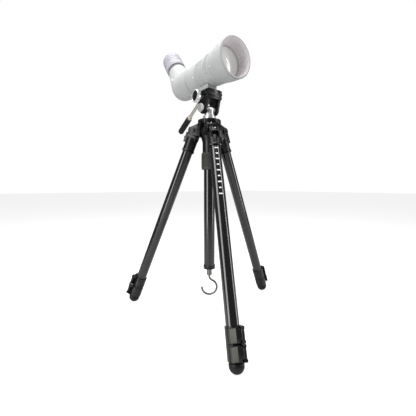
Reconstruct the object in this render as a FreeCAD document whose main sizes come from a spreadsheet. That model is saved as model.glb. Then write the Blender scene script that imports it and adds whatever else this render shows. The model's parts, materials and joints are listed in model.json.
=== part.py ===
"""Spotting scope with an angled eyepiece, on a pan-and-tilt head and a folding tripod.

Millimetres, +Z up.  The floor is Z = 0 and the origin is the middle of the
object's footprint.  The scope looks along -Y.  The column stands beside the
origin, at column_x and column_y, and nearly every piece is placed from it.
"""
import FreeCAD, Part
import math
import os

import Sketcher
from FreeCAD import Placement, Rotation, Vector

# ---------------------------------------------------------------- driving dimensions

SIZES = {
    # where the column stands in the footprint
    "column_x": -45.3,
    "column_y": 10.5,
    # fits
    "run_gap": 0.05,           # radial clearance of a shaft in its bore
    "free_gap": 0.35,          # clearance between pieces that pass each other
    # legs
    "leg_heading": -24.5,      # first leg, degrees from -Y towards +X
    "leg_splay": 22.7,         # degrees from upright
    "leg_count": 3,
    "foot_at": 505.4,          # distances "at" run down the leg from its pivot
    "foot_wall": 4.6,
    "foot_skirt": 6.0,         # straight part of the foot above its dome
    "tube_in_foot": 8.0,
    "leg_tube_radius": 13.4,   # the uppermost tube, which the two others nest in
    "leg_wall": 1.2,
    "nest_gap": 0.4,           # radial clearance of one tube in the next
    "sleeve_wall": 1.8,
    "sleeve_start": 18.0,
    "sleeve_end": 56.0,
    "sleeve_floor": 6.0,       # solid metal between the sleeve's shoulder and the tube
    "tongue_width": 22.0,
    "tongue_radius": 10.0,
    "tongue_flare_at": 12.6,   # where the tongue widens into the sleeve
    "tongue_edge_inset": 2.0,
    "lock_length": 29.0,
    "lock_gap": 1.4,
    "lock_wall": 2.6,
    "lock_foot_gap": 7.4,
    "tube_overlap": 20.0,      # tube held inside the lock below it
    "tube_inset": 40.0,        # each inner tube starts this much lower than the one around it
    "lever_width": 26.0,
    "lever_thick": 4.4,
    "lever_chamfer": 1.0,
    "lever_end_gap": 1.0,      # finger plate's ends from the collar's ends
    "lever_arm_length": 6.48,  # from the pin to the finger plate
    "lever_pin_radius": 1.5,
    "lever_pin_inset": 3.5,    # pin's centre inside the collar's radius
    "knuckle_radius": 3.6,
    "ear_height": 5.0,
    "ear_relief": 0.3,
    "ear_root": 7.0,           # how deep the ears start inside the collar's radius
    "tab_width": 15.0,
    "tab_height": 13.0,
    "tab_thick": 4.0,
    "tab_grip": 2.0,
    "tab_start": 11.0,
    "rail_width": 2.0,
    "rail_lip": 1.0,           # rails end this far below the tab's face
    "rail_length": 26.0,
    "rail_above_tab": 3.0,
    # hub
    "hub_boss_wall": 10.0,     # beyond the column's radius, as the flange and funnel are
    "hub_flange_wall": 15.0,
    "funnel_wall": 11.5,
    "hub_flange_height": 8.0,
    "hub_top_above": 24.6,     # flange top above the leg pivots
    "funnel_top_below": 1.0,
    "funnel_height": 29.5,
    "hub_sleeve_wall": 3.4,
    "hub_sleeve_length": 48.0,
    "pivot_beyond_boss": 14.6,
    "yoke_cheek": 5.65,
    "yoke_rim": 1.0,           # yoke beyond the tongue's round end
    "yoke_root": 4.0,          # how deep the yokes start inside the boss
    "yoke_root_below": 16.0,
    "yoke_root_above": 18.0,
    "slot_clearance": 4.8,
    "pivot_bolt_radius": 3.0,
    "bolt_head_radius": 6.0,
    "bolt_head_height": 3.0,
    "hex_key_radius": 2.9,
    "hub_knob_heading": 275.5,
    "hub_knob_drop": 14.6,
    "hub_knob_radius": 5.5,
    "hub_knob_length": 12.0,
    "hub_screw_radius": 2.5,
    # column
    "column_radius": 14.0,
    "column_wall": 1.4,
    "column_bottom": 129.7,
    "collar_wall": 2.75,
    "collar_length": 42.5,
    "collar_overlap": 22.0,
    "end_cap_wall": 1.4,
    "end_cap_height": 10.0,
    "end_cap_floor": 7.0,
    "shank_radius": 3.0,
    "shank_head_radius": 6.0,
    "shank_head_height": 3.0,
    "hook_heading": -36.0,
    "hook_nut_radius": 6.7,
    "hook_nut_height": 17.0,
    "hook_wire_radius": 2.7,
    "hook_bowl_radius": 20.0,
    "hook_bend_radius": 12.0,
    "hook_reach": 70.8,        # bowl's lowest centreline point below the nut's top
    # head
    "base_rim": 2.0,
    "base_height": 10.6,
    "base_plug_depth": 16.0,
    "spigot_radius": 5.0,
    "spigot_length": 12.0,
    "neck_radius": 12.0,
    "tilt_axis_above": 28.0,   # tilt axis above the hub's flange
    "tee_radius": 8.0,
    "tee_half_length": 14.0,
    "cheek_width": 6.65,
    "cheek_end_radius": 13.6,
    "cheek_shoulder": 3.0,     # cheeks narrower than the platform at each end
    "platform_half_length": 23.0,
    "platform_bottom": 20.5,   # above the tilt axis
    "platform_height": 21.5,
    "channel_depth": 9.0,
    "channel_rail": 4.0,       # width of the platform's edge beside the channel
    "dovetail_slope": 2.5,
    "tilt_bolt_radius": 3.0,
    "bolt_in_knob": 6.0,
    "friction_knob_radius": 10.5,
    "friction_knob_length": 8.0,
    "flute_count": 8,
    "flute_radius": 2.6,
    "flute_beyond": 1.5,       # flute's centre beyond the knob's radius
    "plate_half_length": 21.0,
    "plate_flange": 2.0,
    "plate_edge_inset": 2.0,
    "plate_side_gap": 0.45,
    "plate_screw_radius": 3.175,
    "screw_head_radius": 8.0,
    "screw_head_height": 3.0,
    "screw_tip_gap": 1.6,
    "clamp_above_bottom": 6.5,
    "clamp_offset": 5.0,
    "clamp_radius": 15.5,
    "clamp_length": 11.0,
    "clamp_stem_length": 10.0,
    "clamp_stem_radius": 4.0,
    "clamp_hole_depth": 10.5,
    "handle_inset": 6.0,
    "handle_back": 16.0,
    "handle_above_bottom": 5.0,
    "handle_droop": 31.5,
    "rod_radius": 4.0,
    "rod_seat": 4.0,
    "rod_collar_length": 6.0,
    "rod_collar_step": 2.0,
    "rod_in_grip": 36.0,
    "grip_start": 70.0,
    "grip_length": 58.0,
    "grip_wall": 4.0,
    # scope; "front" and "rear" places run along the optical axis
    "barrel_radius": 34.4,
    "barrel_wall": 5.0,
    "barrel_front": 47.0,
    "barrel_rear": -62.0,
    "ring_seat_depth": 2.4,
    "ring_rear": 14.0,
    "ring_length": 27.6,
    "ring_rear_rise": 1.8,     # rises above the barrel's radius
    "ring_front_rise": 3.6,
    "bell_rear_rise": 4.6,
    "foot_height": 10.6,
    "foot_front": 12.0,
    "foot_rear": -31.0,
    "foot_half_width": 14.0,
    "foot_cheek_rise": 5.0,
    "foot_roof": 1.0,
    "bell_mid": 71.0,
    "bell_front": 99.0,
    "bell_wall": 7.5,          # bell's front beyond the lens cell
    "bell_taper": 1.1,
    "bell_lip": 8.0,
    "bell_lip_wall": 2.7,
    "bell_throat": 1.0,        # throat beyond the ring's seat, where the barrel ends
    "shade_step": 2.2,
    "shade_step_length": 2.0,
    "cell_rear": 56.0,
    "cell_length": 13.0,
    "cell_wall": 3.0,
    "cell_shoulder": 2.5,
    "cell_lip": 1.5,
    "lens_radius": 34.0,
    "lens_edge": 2.5,
    "lens_curve": 220.0,
    "lens_gap": 0.5,
    "flint_edge": 5.0,
    "focus_cell_gap": 0.5,
    "focus_cell_wall": 6.9,
    "focus_cell_length": 16.0,
    "focus_cell_rear": -18.0,
    "focus_lens_start": 4.8,
    "focus_lens_edge": 4.8,
    "housing_rise": 2.6,
    "housing_wall": 3.0,
    "housing_centre": -118.0,
    "housing_straight": 40.0,
    "housing_front_step": 1.0,
    "prism_half_width": 17.0,
    "prism_size": 36.0,
    "eye_angle": 53.0,         # eyepiece axis above the level
    "eye_cone_inset": 1.0,
    "eye_cone_length": 66.0,
    "eye_cone_floor": 6.0,
    "eye_barrel_radius": 20.0,
    "eye_barrel_wall": 3.5,
    "eye_cone_tip_rise": 7.4,  # rises above the eyepiece barrel's radius
    "eye_neck_rise": 5.5,
    "eye_neck_length": 7.6,
    "zoom_rise": 8.3,
    "zoom_length": 27.0,
    "eyecup_rise": 8.0,
    "eyecup_length": 25.0,
    "eyecup_rim": 5.0,
    "eyecup_gap": 0.3,
    "eyecup_opening_gap": 1.0,
    "eye_relief": 5.3,         # eyepiece barrel's end below the cup's lip
    "eye_lens_edge": 4.0,
    "middle_lens_at": 25.0,
    "eye_lens_inset": 2.0,
}

doc = FreeCAD.newDocument("SpottingScope")
sheet = doc.addObject("Spreadsheet::Sheet", "Sizes")
for row, (alias, number) in enumerate(SIZES.items(), start=1):
    sheet.set(f"A{row}", alias)
    sheet.set(f"B{row}", str(number))
    sheet.setAlias(f"B{row}", alias)
doc.recompute()


class Size:
    """A length or angle that carries its number and the sheet expression behind it."""

    def __init__(self, value, text):
        self.value = value
        self.text = text

    def __add__(self, other):
        other = as_size(other)
        return Size(self.value + other.value, f"({self.text} + {other.text})")

    def __sub__(self, other):
        other = as_size(other)
        return Size(self.value - other.value, f"({self.text} - {other.text})")

    def __mul__(self, other):
        other = as_size(other)
        return Size(self.value * other.value, f"({self.text} * {other.text})")

    def __truediv__(self, other):
        other = as_size(other)
        return Size(self.value / other.value, f"({self.text} / {other.text})")

    def __neg__(self):
        return Size(-self.value, f"(-{self.text})")

    def __radd__(self, other):
        return as_size(other) + self

    def __rsub__(self, other):
        return as_size(other) - self

    def __rmul__(self, other):
        return as_size(other) * self


def as_size(number):
    """A plain number as a Size, so that the two can be mixed."""
    return number if isinstance(number, Size) else Size(float(number), repr(float(number)))


def cosine(angle):
    return Size(math.cos(math.radians(angle.value)), f"cos({angle.text})")


def sine(angle):
    return Size(math.sin(math.radians(angle.value)), f"sin({angle.text})")


class Sheet:
    """The spreadsheet's cells by name, each as a Size."""


S = Sheet()
for alias in SIZES:
    setattr(S, alias, Size(float(sheet.get(alias)), f"Sizes.{alias}"))

# ---------------------------------------------------------------- derived sizes and places

ZERO = as_size(0)
CUT_PAST = as_size(2)          # how far a cutting shape runs past what it cuts
SUNK = as_size(1)              # how far a feature is sunk in the one that it grows from

UPPER_TUBE_RADIUS = S.leg_tube_radius
MIDDLE_TUBE_RADIUS = UPPER_TUBE_RADIUS - S.leg_wall - S.nest_gap
LOWER_TUBE_RADIUS = MIDDLE_TUBE_RADIUS - S.leg_wall - S.nest_gap
FOOT_RADIUS = LOWER_TUBE_RADIUS + S.foot_wall
SLEEVE_RADIUS = UPPER_TUBE_RADIUS + S.sleeve_wall
LOCK_RADIUS = UPPER_TUBE_RADIUS + S.lock_wall

HUB_SLEEVE_RADIUS = S.column_radius + S.hub_sleeve_wall
HUB_BOSS_RADIUS = S.column_radius + S.hub_boss_wall
HUB_FLANGE_RADIUS = S.column_radius + S.hub_flange_wall
FUNNEL_TOP_RADIUS = S.column_radius + S.funnel_wall
PIVOT_RADIUS = HUB_BOSS_RADIUS + S.pivot_beyond_boss
YOKE_WIDTH = S.tongue_width + 2 * (S.free_gap + S.yoke_cheek)
YOKE_END_RADIUS = S.tongue_radius + S.yoke_rim
YOKE_SLOT_FLOOR = PIVOT_RADIUS - S.tongue_radius - S.slot_clearance
COLLAR_RADIUS = HUB_SLEEVE_RADIUS + S.free_gap + S.collar_wall
END_CAP_RADIUS = S.column_radius + S.end_cap_wall
BASE_RADIUS = S.column_radius + S.base_rim

CHEEK_INNER = S.tee_half_length + S.free_gap
CHEEK_OUTER = CHEEK_INNER + S.cheek_width
PLATFORM_TOP = S.platform_bottom + S.platform_height
CHANNEL_FLOOR = PLATFORM_TOP - S.channel_depth
CHANNEL_HALF_WIDTH = CHEEK_OUTER - S.channel_rail
PLATE_TOP = PLATFORM_TOP + S.plate_flange
CLAMP_HEIGHT = S.platform_bottom + S.clamp_above_bottom
HANDLE_SIDE = CHEEK_OUTER - S.handle_inset
HANDLE_HEIGHT = S.platform_bottom + S.handle_above_bottom
ROD_END = S.grip_start + S.rod_in_grip
GRIP_RADIUS = S.rod_radius + S.grip_wall

SCOPE_AXIS_ABOVE = S.barrel_radius + S.foot_height
BARREL_BORE = S.barrel_radius - S.barrel_wall
RING_SEAT_RADIUS = S.barrel_radius - S.ring_seat_depth
RING_FRONT = S.ring_rear + S.ring_length
CELL_RADIUS = S.lens_radius + S.cell_wall
BELL_FRONT_RADIUS = CELL_RADIUS + S.bell_wall
BELL_BORE = BELL_FRONT_RADIUS - S.bell_lip_wall
FOCUS_CELL_RADIUS = BARREL_BORE - S.focus_cell_gap
HOUSING_RADIUS = S.barrel_radius + S.housing_rise
EYE_CONE_RADIUS = HOUSING_RADIUS - S.eye_cone_inset
EYE_CONE_TIP_RADIUS = S.eye_barrel_radius + S.eye_cone_tip_rise
EYE_BARREL_BORE = S.eye_barrel_radius - S.eye_barrel_wall

PIVOT_Z = S.foot_at * cosine(S.leg_splay) + FOOT_RADIUS
HUB_TOP = PIVOT_Z + S.hub_top_above
TILT_Z = HUB_TOP + S.tilt_axis_above
PLATE_TOP_Z = TILT_Z + PLATE_TOP
SCOPE_Z = PLATE_TOP_Z + SCOPE_AXIS_ABOVE
LOWER_LOCK_AT = S.foot_at - S.lock_foot_gap - S.lock_length
UPPER_LOCK_AT = LOWER_LOCK_AT - S.lock_gap - S.lock_length
HUB_SLEEVE_BOTTOM = PIVOT_Z - S.funnel_top_below - S.hub_sleeve_length - S.funnel_height
COLLAR_TOP = HUB_SLEEVE_BOTTOM + S.collar_overlap

LEGS = range(1, int(S.leg_count.value) + 1)
LEG_STEP = 360.0 / S.leg_count.value

# ---------------------------------------------------------------- drawing helpers


def standing(height, turn=0.0):
    """Placement on the column's axis at a height, turned about Z by degrees."""
    base = Vector(S.column_x.value, S.column_y.value, as_size(height).value)
    return Placement(base, Rotation(Vector(0, 0, 1), turn))


def moved(placement, x=0.0, y=0.0, z=0.0, axis=Vector(0, 0, 1), turn=0.0):
    """A placement followed by a shift and a turn in its own frame."""
    shift = Vector(as_size(x).value, as_size(y).value, as_size(z).value)
    return placement.multiply(Placement(shift, Rotation(axis, turn)))


def leg_frame(leg):
    """Frame of a leg: origin at its pivot, -Z down the leg, -Y outwards."""
    heading = S.leg_heading.value + (leg - 1) * LEG_STEP
    frame = moved(standing(PIVOT_Z, heading), y=-PIVOT_RADIUS)
    return moved(frame, axis=Vector(1, 0, 0), turn=-S.leg_splay.value)


def scope_frame():
    """Frame of the scope: +Z forward along the optical axis, on the column's axis."""
    return moved(standing(SCOPE_Z), axis=Vector(1, 0, 0), turn=90)


def eye_frame():
    """Frame of the eyepiece: +Z out of the eyepiece, from the bend of the housing."""
    frame = moved(standing(SCOPE_Z), y=-S.housing_centre)
    return moved(frame, axis=Vector(1, 0, 0), turn=S.eye_angle.value - 90)


def new_body(name, placement):
    """An empty body with its label and its place."""
    body = doc.addObject("PartDesign::Body", name)
    body.Label = name
    body.Placement = placement
    return body


def origin_feature(body, role):
    return next(item for item in body.Origin.OriginFeatures if item.Role == role)


def new_sketch(body, role, offset=None):
    """A sketch on one of the body's own origin planes, lifted off it by offset."""
    sketch = body.newObject("Sketcher::SketchObject", body.Name + "_sketch")
    sketch.AttachmentSupport = [(origin_feature(body, role), "")]
    sketch.MapMode = "FlatFace"
    if offset is not None:
        sketch.setExpression("AttachmentOffset.Base.z", offset.text)
    return sketch


def tie(sketch, kind, geometry, position, size):
    """Tie one coordinate of a sketch point to the sheet."""
    if size.value == 0.0:
        axis = -2 if kind == "DistanceX" else -1
        sketch.addConstraint(Sketcher.Constraint("PointOnObject", geometry, position, axis))
        return
    number = sketch.addConstraint(
        Sketcher.Constraint(kind, -1, 1, geometry, position, size.value))
    sketch.setExpression(f"Constraints[{number}]", size.text)


def arc_between(start, end, radius):
    """Short arc that turns left on its way from start to end."""
    chord = end - start
    middle = (start + end) * 0.5
    rise = math.sqrt(max(radius * radius - chord.Length ** 2 / 4.0, 0.0))
    left = Vector(-chord.y, chord.x, 0).normalize()
    centre = middle + left * rise
    first = math.atan2(start.y - centre.y, start.x - centre.x)
    last = math.atan2(end.y - centre.y, end.x - centre.x)
    return Part.ArcOfCircle(Part.Circle(centre, Vector(0, 0, 1), radius), first, last)


def draw(sketch, outline):
    """Close an anticlockwise outline of (x, y) points.

    A third value in a point makes the edge that leaves it an arc of that radius,
    which bulges outwards, or inwards where the value is negative.  Each arc is less
    than a half turn.
    """
    points = [(as_size(p[0]), as_size(p[1])) for p in outline]
    radii = [as_size(p[2]) if len(p) > 2 else None for p in outline]
    corners = [Vector(x.value, y.value, 0) for x, y in points]
    count = len(points)
    edges = []
    for i in range(count):
        start = corners[i]
        end = corners[(i + 1) % count]
        if radii[i] is None:
            edges.append((sketch.addGeometry(Part.LineSegment(start, end), False), 1, 2))
        elif radii[i].value > 0:
            arc = arc_between(start, end, radii[i].value)
            edges.append((sketch.addGeometry(arc, False), 1, 2))
        else:
            arc = arc_between(end, start, -radii[i].value)
            edges.append((sketch.addGeometry(arc, False), 2, 1))
    for i in range(count):
        edge, _, finish = edges[i]
        follower, begin, _ = edges[(i + 1) % count]
        sketch.addConstraint(Sketcher.Constraint("Coincident", edge, finish, follower, begin))
    for i in range(count):
        edge, begin, _ = edges[i]
        tie(sketch, "DistanceX", edge, begin, points[i][0])
        tie(sketch, "DistanceY", edge, begin, points[i][1])
        if radii[i] is not None:
            tie_radius(sketch, edge, radii[i] if radii[i].value > 0 else -radii[i])


def tie_radius(sketch, geometry, radius):
    """Tie an arc's or circle's radius to the sheet."""
    number = sketch.addConstraint(Sketcher.Constraint("Radius", geometry, radius.value))
    sketch.setExpression(f"Constraints[{number}]", radius.text)


def draw_circle(sketch, x, y, radius):
    """A circle tied to the sheet by its centre and its radius."""
    x, y, radius = as_size(x), as_size(y), as_size(radius)
    centre = Vector(x.value, y.value, 0)
    circle = sketch.addGeometry(Part.Circle(centre, Vector(0, 0, 1), radius.value), False)
    tie(sketch, "DistanceX", circle, 3, x)
    tie(sketch, "DistanceY", circle, 3, y)
    tie_radius(sketch, circle, radius)


def add_feature(body, kind, profile):
    """Add a feature from a sketch and leave it as the body's tip."""
    feature = body.newObject(f"PartDesign::{kind}", f"{body.Name}_{kind}")
    feature.Profile = profile
    return feature


def revolve(body, outline, cut=False):
    """Turn an outline of (radius, height) points about the body's Z axis."""
    sketch = new_sketch(body, "XZ_Plane")
    draw(sketch, outline)
    before = 0.0 if body.Shape.isNull() else body.Shape.Volume
    feature = add_feature(body, "Groove" if cut else "Revolution", sketch)
    feature.ReferenceAxis = (sketch, ["V_Axis"])
    feature.Angle = 360
    check_step(body, feature, before, cut)
    return feature


def extrude(body, role, drawing, length, offset=None, cut=False, both=False, flip=False):
    """Pad or pocket a drawing, which is a list of points or an (x, y, radius) circle."""
    sketch = new_sketch(body, role, offset)
    if isinstance(drawing, tuple):
        draw_circle(sketch, *drawing)
    else:
        draw(sketch, drawing)
    before = 0.0 if body.Shape.isNull() else body.Shape.Volume
    feature = add_feature(body, "Pocket" if cut else "Pad", sketch)
    if both:
        feature.SideType = "Symmetric"
    feature.Reversed = flip
    feature.setExpression("Length", as_size(length).text)
    check_step(body, feature, before, cut)
    return feature


def check_step(body, feature, before, cut):
    """Stop where a feature fails, or where it takes away or adds nothing."""
    doc.recompute()
    if "Invalid" in feature.State or "Error" in feature.State:
        raise RuntimeError(f"{feature.Name} failed")
    change = body.Shape.Volume - before
    if (cut and change > -1e-6) or (not cut and change < 1e-6):
        raise RuntimeError(f"{feature.Name} changes the volume of {body.Label} by {change}")


def repeat(body, features, count):
    """Repeat features evenly about the body's Z axis."""
    pattern = body.newObject("PartDesign::PolarPattern", f"{body.Name}_PolarPattern")
    pattern.Originals = features
    pattern.Axis = (origin_feature(body, "Z_Axis"), [""])
    pattern.Angle = 360
    pattern.setExpression("Occurrences", as_size(count).text)
    body.Tip = pattern
    doc.recompute()
    return pattern


def tube_outline(inner, outer, low, high):
    """Half-section of a ring or tube."""
    return [(inner, low), (outer, low), (outer, high), (inner, high)]


def box_outline(x_low, x_high, y_low, y_high):
    return [(x_low, y_low), (x_high, y_low), (x_high, y_high), (x_low, y_high)]


def hexagon(x, y, radius):
    """Corners of a hexagon about (x, y)."""
    return [(x + radius * cosine(as_size(60 * i)), y + radius * sine(as_size(60 * i)))
            for i in range(6)]


def rod_tool(name, placement, radius, length):
    """A plain cylinder used to cut a hole, starting at its placement."""
    rod = doc.addObject("Part::Cylinder", name)
    rod.Placement = placement
    rod.setExpression("Radius", as_size(radius).text)
    rod.setExpression("Height", as_size(length).text)
    return rod


def cut_away(name, blank, tool):
    """The node's solid: blank less tool."""
    blank.Label = name + "_blank"
    result = doc.addObject("Part::Cut", name + "_cut")
    result.Base = blank
    result.Tool = tool
    doc.recompute()
    result.Label = name
    if result.Shape.Volume > blank.Shape.Volume - 1e-6:
        raise RuntimeError(f"{name} keeps its whole blank")
    return result


def joined(name, first, second):
    """Two overlapping solids made one."""
    result = doc.addObject("Part::Fuse", name)
    result.Base = first
    result.Tool = second
    doc.recompute()
    return result


NODES = []


def keep(node):
    """Add a finished sub-part to the list that is checked and written."""
    NODES.append(node)
    return node


# ---------------------------------------------------------------- stand: hub and column


def yoke_side():
    """Side view of one yoke, from the hub's boss out round the leg's pivot."""
    inner = S.yoke_root - HUB_BOSS_RADIUS
    return [(inner, -S.yoke_root_below), (inner, S.yoke_root_above),
            (-PIVOT_RADIUS, YOKE_END_RADIUS, YOKE_END_RADIUS),
            (-(PIVOT_RADIUS + YOKE_END_RADIUS), ZERO, YOKE_END_RADIUS),
            (-PIVOT_RADIUS, -YOKE_END_RADIUS)]


def make_hub():
    """Shoulder casting: column sleeve, funnel, boss, flange and a yoke for each leg."""
    bore = S.column_radius + S.run_gap
    funnel_bottom = -(S.funnel_top_below + S.funnel_height)
    bottom = funnel_bottom - S.hub_sleeve_length
    flange_bottom = S.hub_top_above - S.hub_flange_height
    body = new_body("hub", standing(PIVOT_Z, S.leg_heading.value))
    revolve(body, [
        (bore, bottom), (HUB_SLEEVE_RADIUS, bottom), (HUB_SLEEVE_RADIUS, funnel_bottom),
        (FUNNEL_TOP_RADIUS, -S.funnel_top_below), (HUB_BOSS_RADIUS, -S.funnel_top_below),
        (HUB_BOSS_RADIUS, flange_bottom), (HUB_FLANGE_RADIUS, flange_bottom),
        (HUB_FLANGE_RADIUS, S.hub_top_above), (bore, S.hub_top_above)])
    yoke = extrude(body, "YZ_Plane", yoke_side(), YOKE_WIDTH, both=True)
    outside = -(PIVOT_RADIUS + YOKE_END_RADIUS + CUT_PAST)
    slot = extrude(
        body, "YZ_Plane",
        box_outline(outside, -YOKE_SLOT_FLOOR, funnel_bottom - SUNK, flange_bottom),
        S.tongue_width + 2 * S.free_gap, cut=True, both=True)
    hole = extrude(body, "YZ_Plane", (-PIVOT_RADIUS, ZERO, S.pivot_bolt_radius),
                   YOKE_WIDTH * 2, cut=True, both=True)
    repeat(body, [yoke, slot, hole], S.leg_count)
    screw_hole = rod_tool("hub_screw_hole", hub_knob_frame(), S.hub_screw_radius + S.run_gap,
                          HUB_FLANGE_RADIUS)
    keep(cut_away("hub", body, screw_hole))


def hub_knob_frame():
    """Frame of the column clamp knob: +Z out of the hub, from the column's axis."""
    height = HUB_TOP - S.hub_knob_drop
    return moved(standing(height, S.hub_knob_heading.value), axis=Vector(1, 0, 0), turn=90)


def make_hub_knob():
    """Clamp knob on a screw that reaches through the boss to the column."""
    inner = S.column_radius + S.free_gap
    face = HUB_BOSS_RADIUS + S.free_gap
    body = new_body("hub_knob", hub_knob_frame())
    revolve(body, [
        (ZERO, inner), (S.hub_screw_radius, inner), (S.hub_screw_radius, face),
        (S.hub_knob_radius, face), (S.hub_knob_radius, face + S.hub_knob_length),
        (ZERO, face + S.hub_knob_length)])
    keep(body)


def make_pivot_bolts():
    """One bolt through each yoke, with a socket head at one end and a nut at the other."""
    half = YOKE_WIDTH / 2
    body = new_body("pivot_bolts", standing(PIVOT_Z, S.leg_heading.value))
    body.AllowCompound = True
    shaft = extrude(body, "YZ_Plane", (-PIVOT_RADIUS, ZERO, S.pivot_bolt_radius),
                    YOKE_WIDTH, both=True)
    heads = [
        extrude(body, "YZ_Plane", (-PIVOT_RADIUS, ZERO, S.bolt_head_radius),
                S.bolt_head_height, offset=place)
        for place in (half, -half - S.bolt_head_height)]
    socket = extrude(body, "YZ_Plane", hexagon(-PIVOT_RADIUS, ZERO, S.hex_key_radius),
                     S.bolt_head_height, offset=-half - S.bolt_head_height, cut=True, flip=True)
    repeat(body, [shaft] + heads + [socket], S.leg_count)
    keep(body)


def make_column():
    """Round tube from the end cap's floor to the pan base."""
    body = new_body("column", standing(ZERO))
    revolve(body, tube_outline(S.column_radius - S.column_wall, S.column_radius,
                               S.column_bottom, HUB_TOP + S.free_gap))
    keep(body)


def make_column_collar():
    """Twist collar: it runs up over the hub's sleeve and closes round the column."""
    bottom = COLLAR_TOP - S.collar_length
    column_bore = S.column_radius + S.free_gap
    sleeve_bore = HUB_SLEEVE_RADIUS + S.free_gap
    step = HUB_SLEEVE_BOTTOM - S.free_gap
    body = new_body("column_collar", standing(ZERO))
    revolve(body, [
        (column_bore, bottom), (COLLAR_RADIUS, bottom), (COLLAR_RADIUS, COLLAR_TOP),
        (sleeve_bore, COLLAR_TOP), (sleeve_bore, step), (column_bore, step)])
    keep(body)


def make_column_end_cap():
    """Cup on the column's lower end, with the hook's bore in its floor."""
    bore = S.shank_radius + S.run_gap
    rim = S.end_cap_height - S.end_cap_floor
    body = new_body("column_end_cap", standing(S.column_bottom))
    revolve(body, [
        (bore, -S.end_cap_floor), (END_CAP_RADIUS, -S.end_cap_floor),
        (END_CAP_RADIUS, rim), (S.column_radius, rim), (S.column_radius, ZERO), (bore, ZERO)])
    keep(body)


def make_load_hook():
    """Hook of round wire under a knurled nut, on a shank held in the end cap."""
    nut_top = -(S.end_cap_floor + S.free_gap)
    nut_bottom = nut_top - S.hook_nut_height
    head_top = S.free_gap + S.shank_head_height
    body = new_body("load_hook", standing(S.column_bottom, S.hook_heading.value))
    revolve(body, [
        (ZERO, nut_bottom), (S.hook_nut_radius, nut_bottom), (S.hook_nut_radius, nut_top),
        (S.shank_radius, nut_top), (S.shank_radius, S.free_gap),
        (S.shank_head_radius, S.free_gap), (S.shank_head_radius, head_top), (ZERO, head_top)])
    start = nut_bottom + S.hook_nut_height / 2
    path = new_sketch(body, "XZ_Plane")
    draw_hook_path(path, start, nut_top - S.hook_reach)
    section = new_sketch(body, "XY_Plane", start)
    draw_circle(section, ZERO, ZERO, S.hook_wire_radius)
    pipe = add_feature(body, "AdditivePipe", section)
    pipe.Spine = (path, ["Edge1", "Edge2", "Edge3"])
    check_step(body, pipe, 0.0, False)
    keep(body)


def draw_hook_path(sketch, start, lowest):
    """Straight shank, a bend to one side, then the bowl back under the shank's line."""
    bend, bowl = S.hook_bend_radius, S.hook_bowl_radius
    centre = lowest + bowl
    angle = math.acos(bend.value / (bend.value + bowl.value))
    turn_z = centre.value + (bend.value + bowl.value) * math.sin(angle)
    join = Vector(bowl.value * math.cos(angle), centre.value + bowl.value * math.sin(angle), 0)
    up = Vector(0, 0, 1)
    line = sketch.addGeometry(
        Part.LineSegment(Vector(0, start.value, 0), Vector(0, turn_z, 0)), False)
    first = sketch.addGeometry(Part.ArcOfCircle(
        Part.Circle(Vector(bend.value, turn_z, 0), up, bend.value),
        math.pi, math.pi + angle), False)
    second = sketch.addGeometry(Part.ArcOfCircle(
        Part.Circle(Vector(0, centre.value, 0), up, bowl.value), -math.pi, angle), False)
    tie(sketch, "DistanceX", line, 1, ZERO)
    tie(sketch, "DistanceY", line, 1, start)
    sketch.addConstraint(Sketcher.Constraint("Vertical", line))
    sketch.addConstraint(Sketcher.Constraint("Tangent", line, 2, first, 1))
    sketch.addConstraint(Sketcher.Constraint("Tangent", first, 2, second, 2))
    tie_radius(sketch, first, bend)
    tie_radius(sketch, second, bowl)
    tie(sketch, "DistanceX", second, 3, ZERO)
    tie(sketch, "DistanceY", second, 3, centre)
    tie(sketch, "DistanceY", second, 1, centre)
    doc.recompute()


# ---------------------------------------------------------------- stand: legs


def make_leg_top(leg):
    """Leg casting: pivot tongue, tube sleeve and the angle tab's two rails."""
    reach = SLEEVE_RADIUS - S.tongue_edge_inset
    seat = S.sleeve_start + S.sleeve_floor
    body = new_body(f"leg_top_{leg}", leg_frame(leg))
    extrude(body, "YZ_Plane", [
        (S.tongue_radius, ZERO, S.tongue_radius), (ZERO, S.tongue_radius, S.tongue_radius),
        (-S.tongue_radius, ZERO),
        (-reach, -S.tongue_flare_at), (-reach, -seat + SUNK), (reach, -seat + SUNK),
        (reach, -S.tongue_flare_at)], S.tongue_width, both=True)
    revolve(body, [
        (UPPER_TUBE_RADIUS, -S.sleeve_end), (SLEEVE_RADIUS, -S.sleeve_end),
        (SLEEVE_RADIUS, -S.sleeve_start), (ZERO, -S.sleeve_start), (ZERO, -seat),
        (UPPER_TUBE_RADIUS, -seat)])
    rail_inner = S.tab_width / 2 + S.free_gap
    rail_outer = rail_inner + S.rail_width
    rail_root = S.sleeve_wall - UPPER_TUBE_RADIUS
    rail_face = S.rail_lip - SLEEVE_RADIUS - S.tab_thick
    for low, high in ((rail_inner, rail_outer), (-rail_outer, -rail_inner)):
        extrude(body, "XY_Plane", box_outline(low, high, rail_face, rail_root), S.rail_length,
                offset=S.rail_above_tab - S.tab_start - S.rail_length)
    extrude(body, "YZ_Plane", (ZERO, ZERO, S.pivot_bolt_radius + S.run_gap),
            S.tongue_width * 2, cut=True, both=True)
    keep(body)


def make_angle_tab(leg):
    """Sliding tab between the rails, with a raised finger edge."""
    inner = -(SLEEVE_RADIUS + S.free_gap)
    outer = inner - S.tab_thick
    half = S.tab_width / 2
    body = new_body(f"angle_tab_{leg}", leg_frame(leg))
    extrude(body, "XY_Plane", box_outline(-half, half, outer, inner), S.tab_height,
            offset=-S.tab_start - S.tab_height)
    extrude(body, "XY_Plane", box_outline(-half, half, outer - S.tab_grip, outer), S.tab_thick,
            offset=-S.tab_start - S.tab_height)
    keep(body)


def make_tube(name, leg, radius, low, high):
    """One leg tube, between two places down the leg."""
    body = new_body(name, leg_frame(leg))
    revolve(body, tube_outline(radius - S.leg_wall, radius, -low, -high))
    keep(body)


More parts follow.
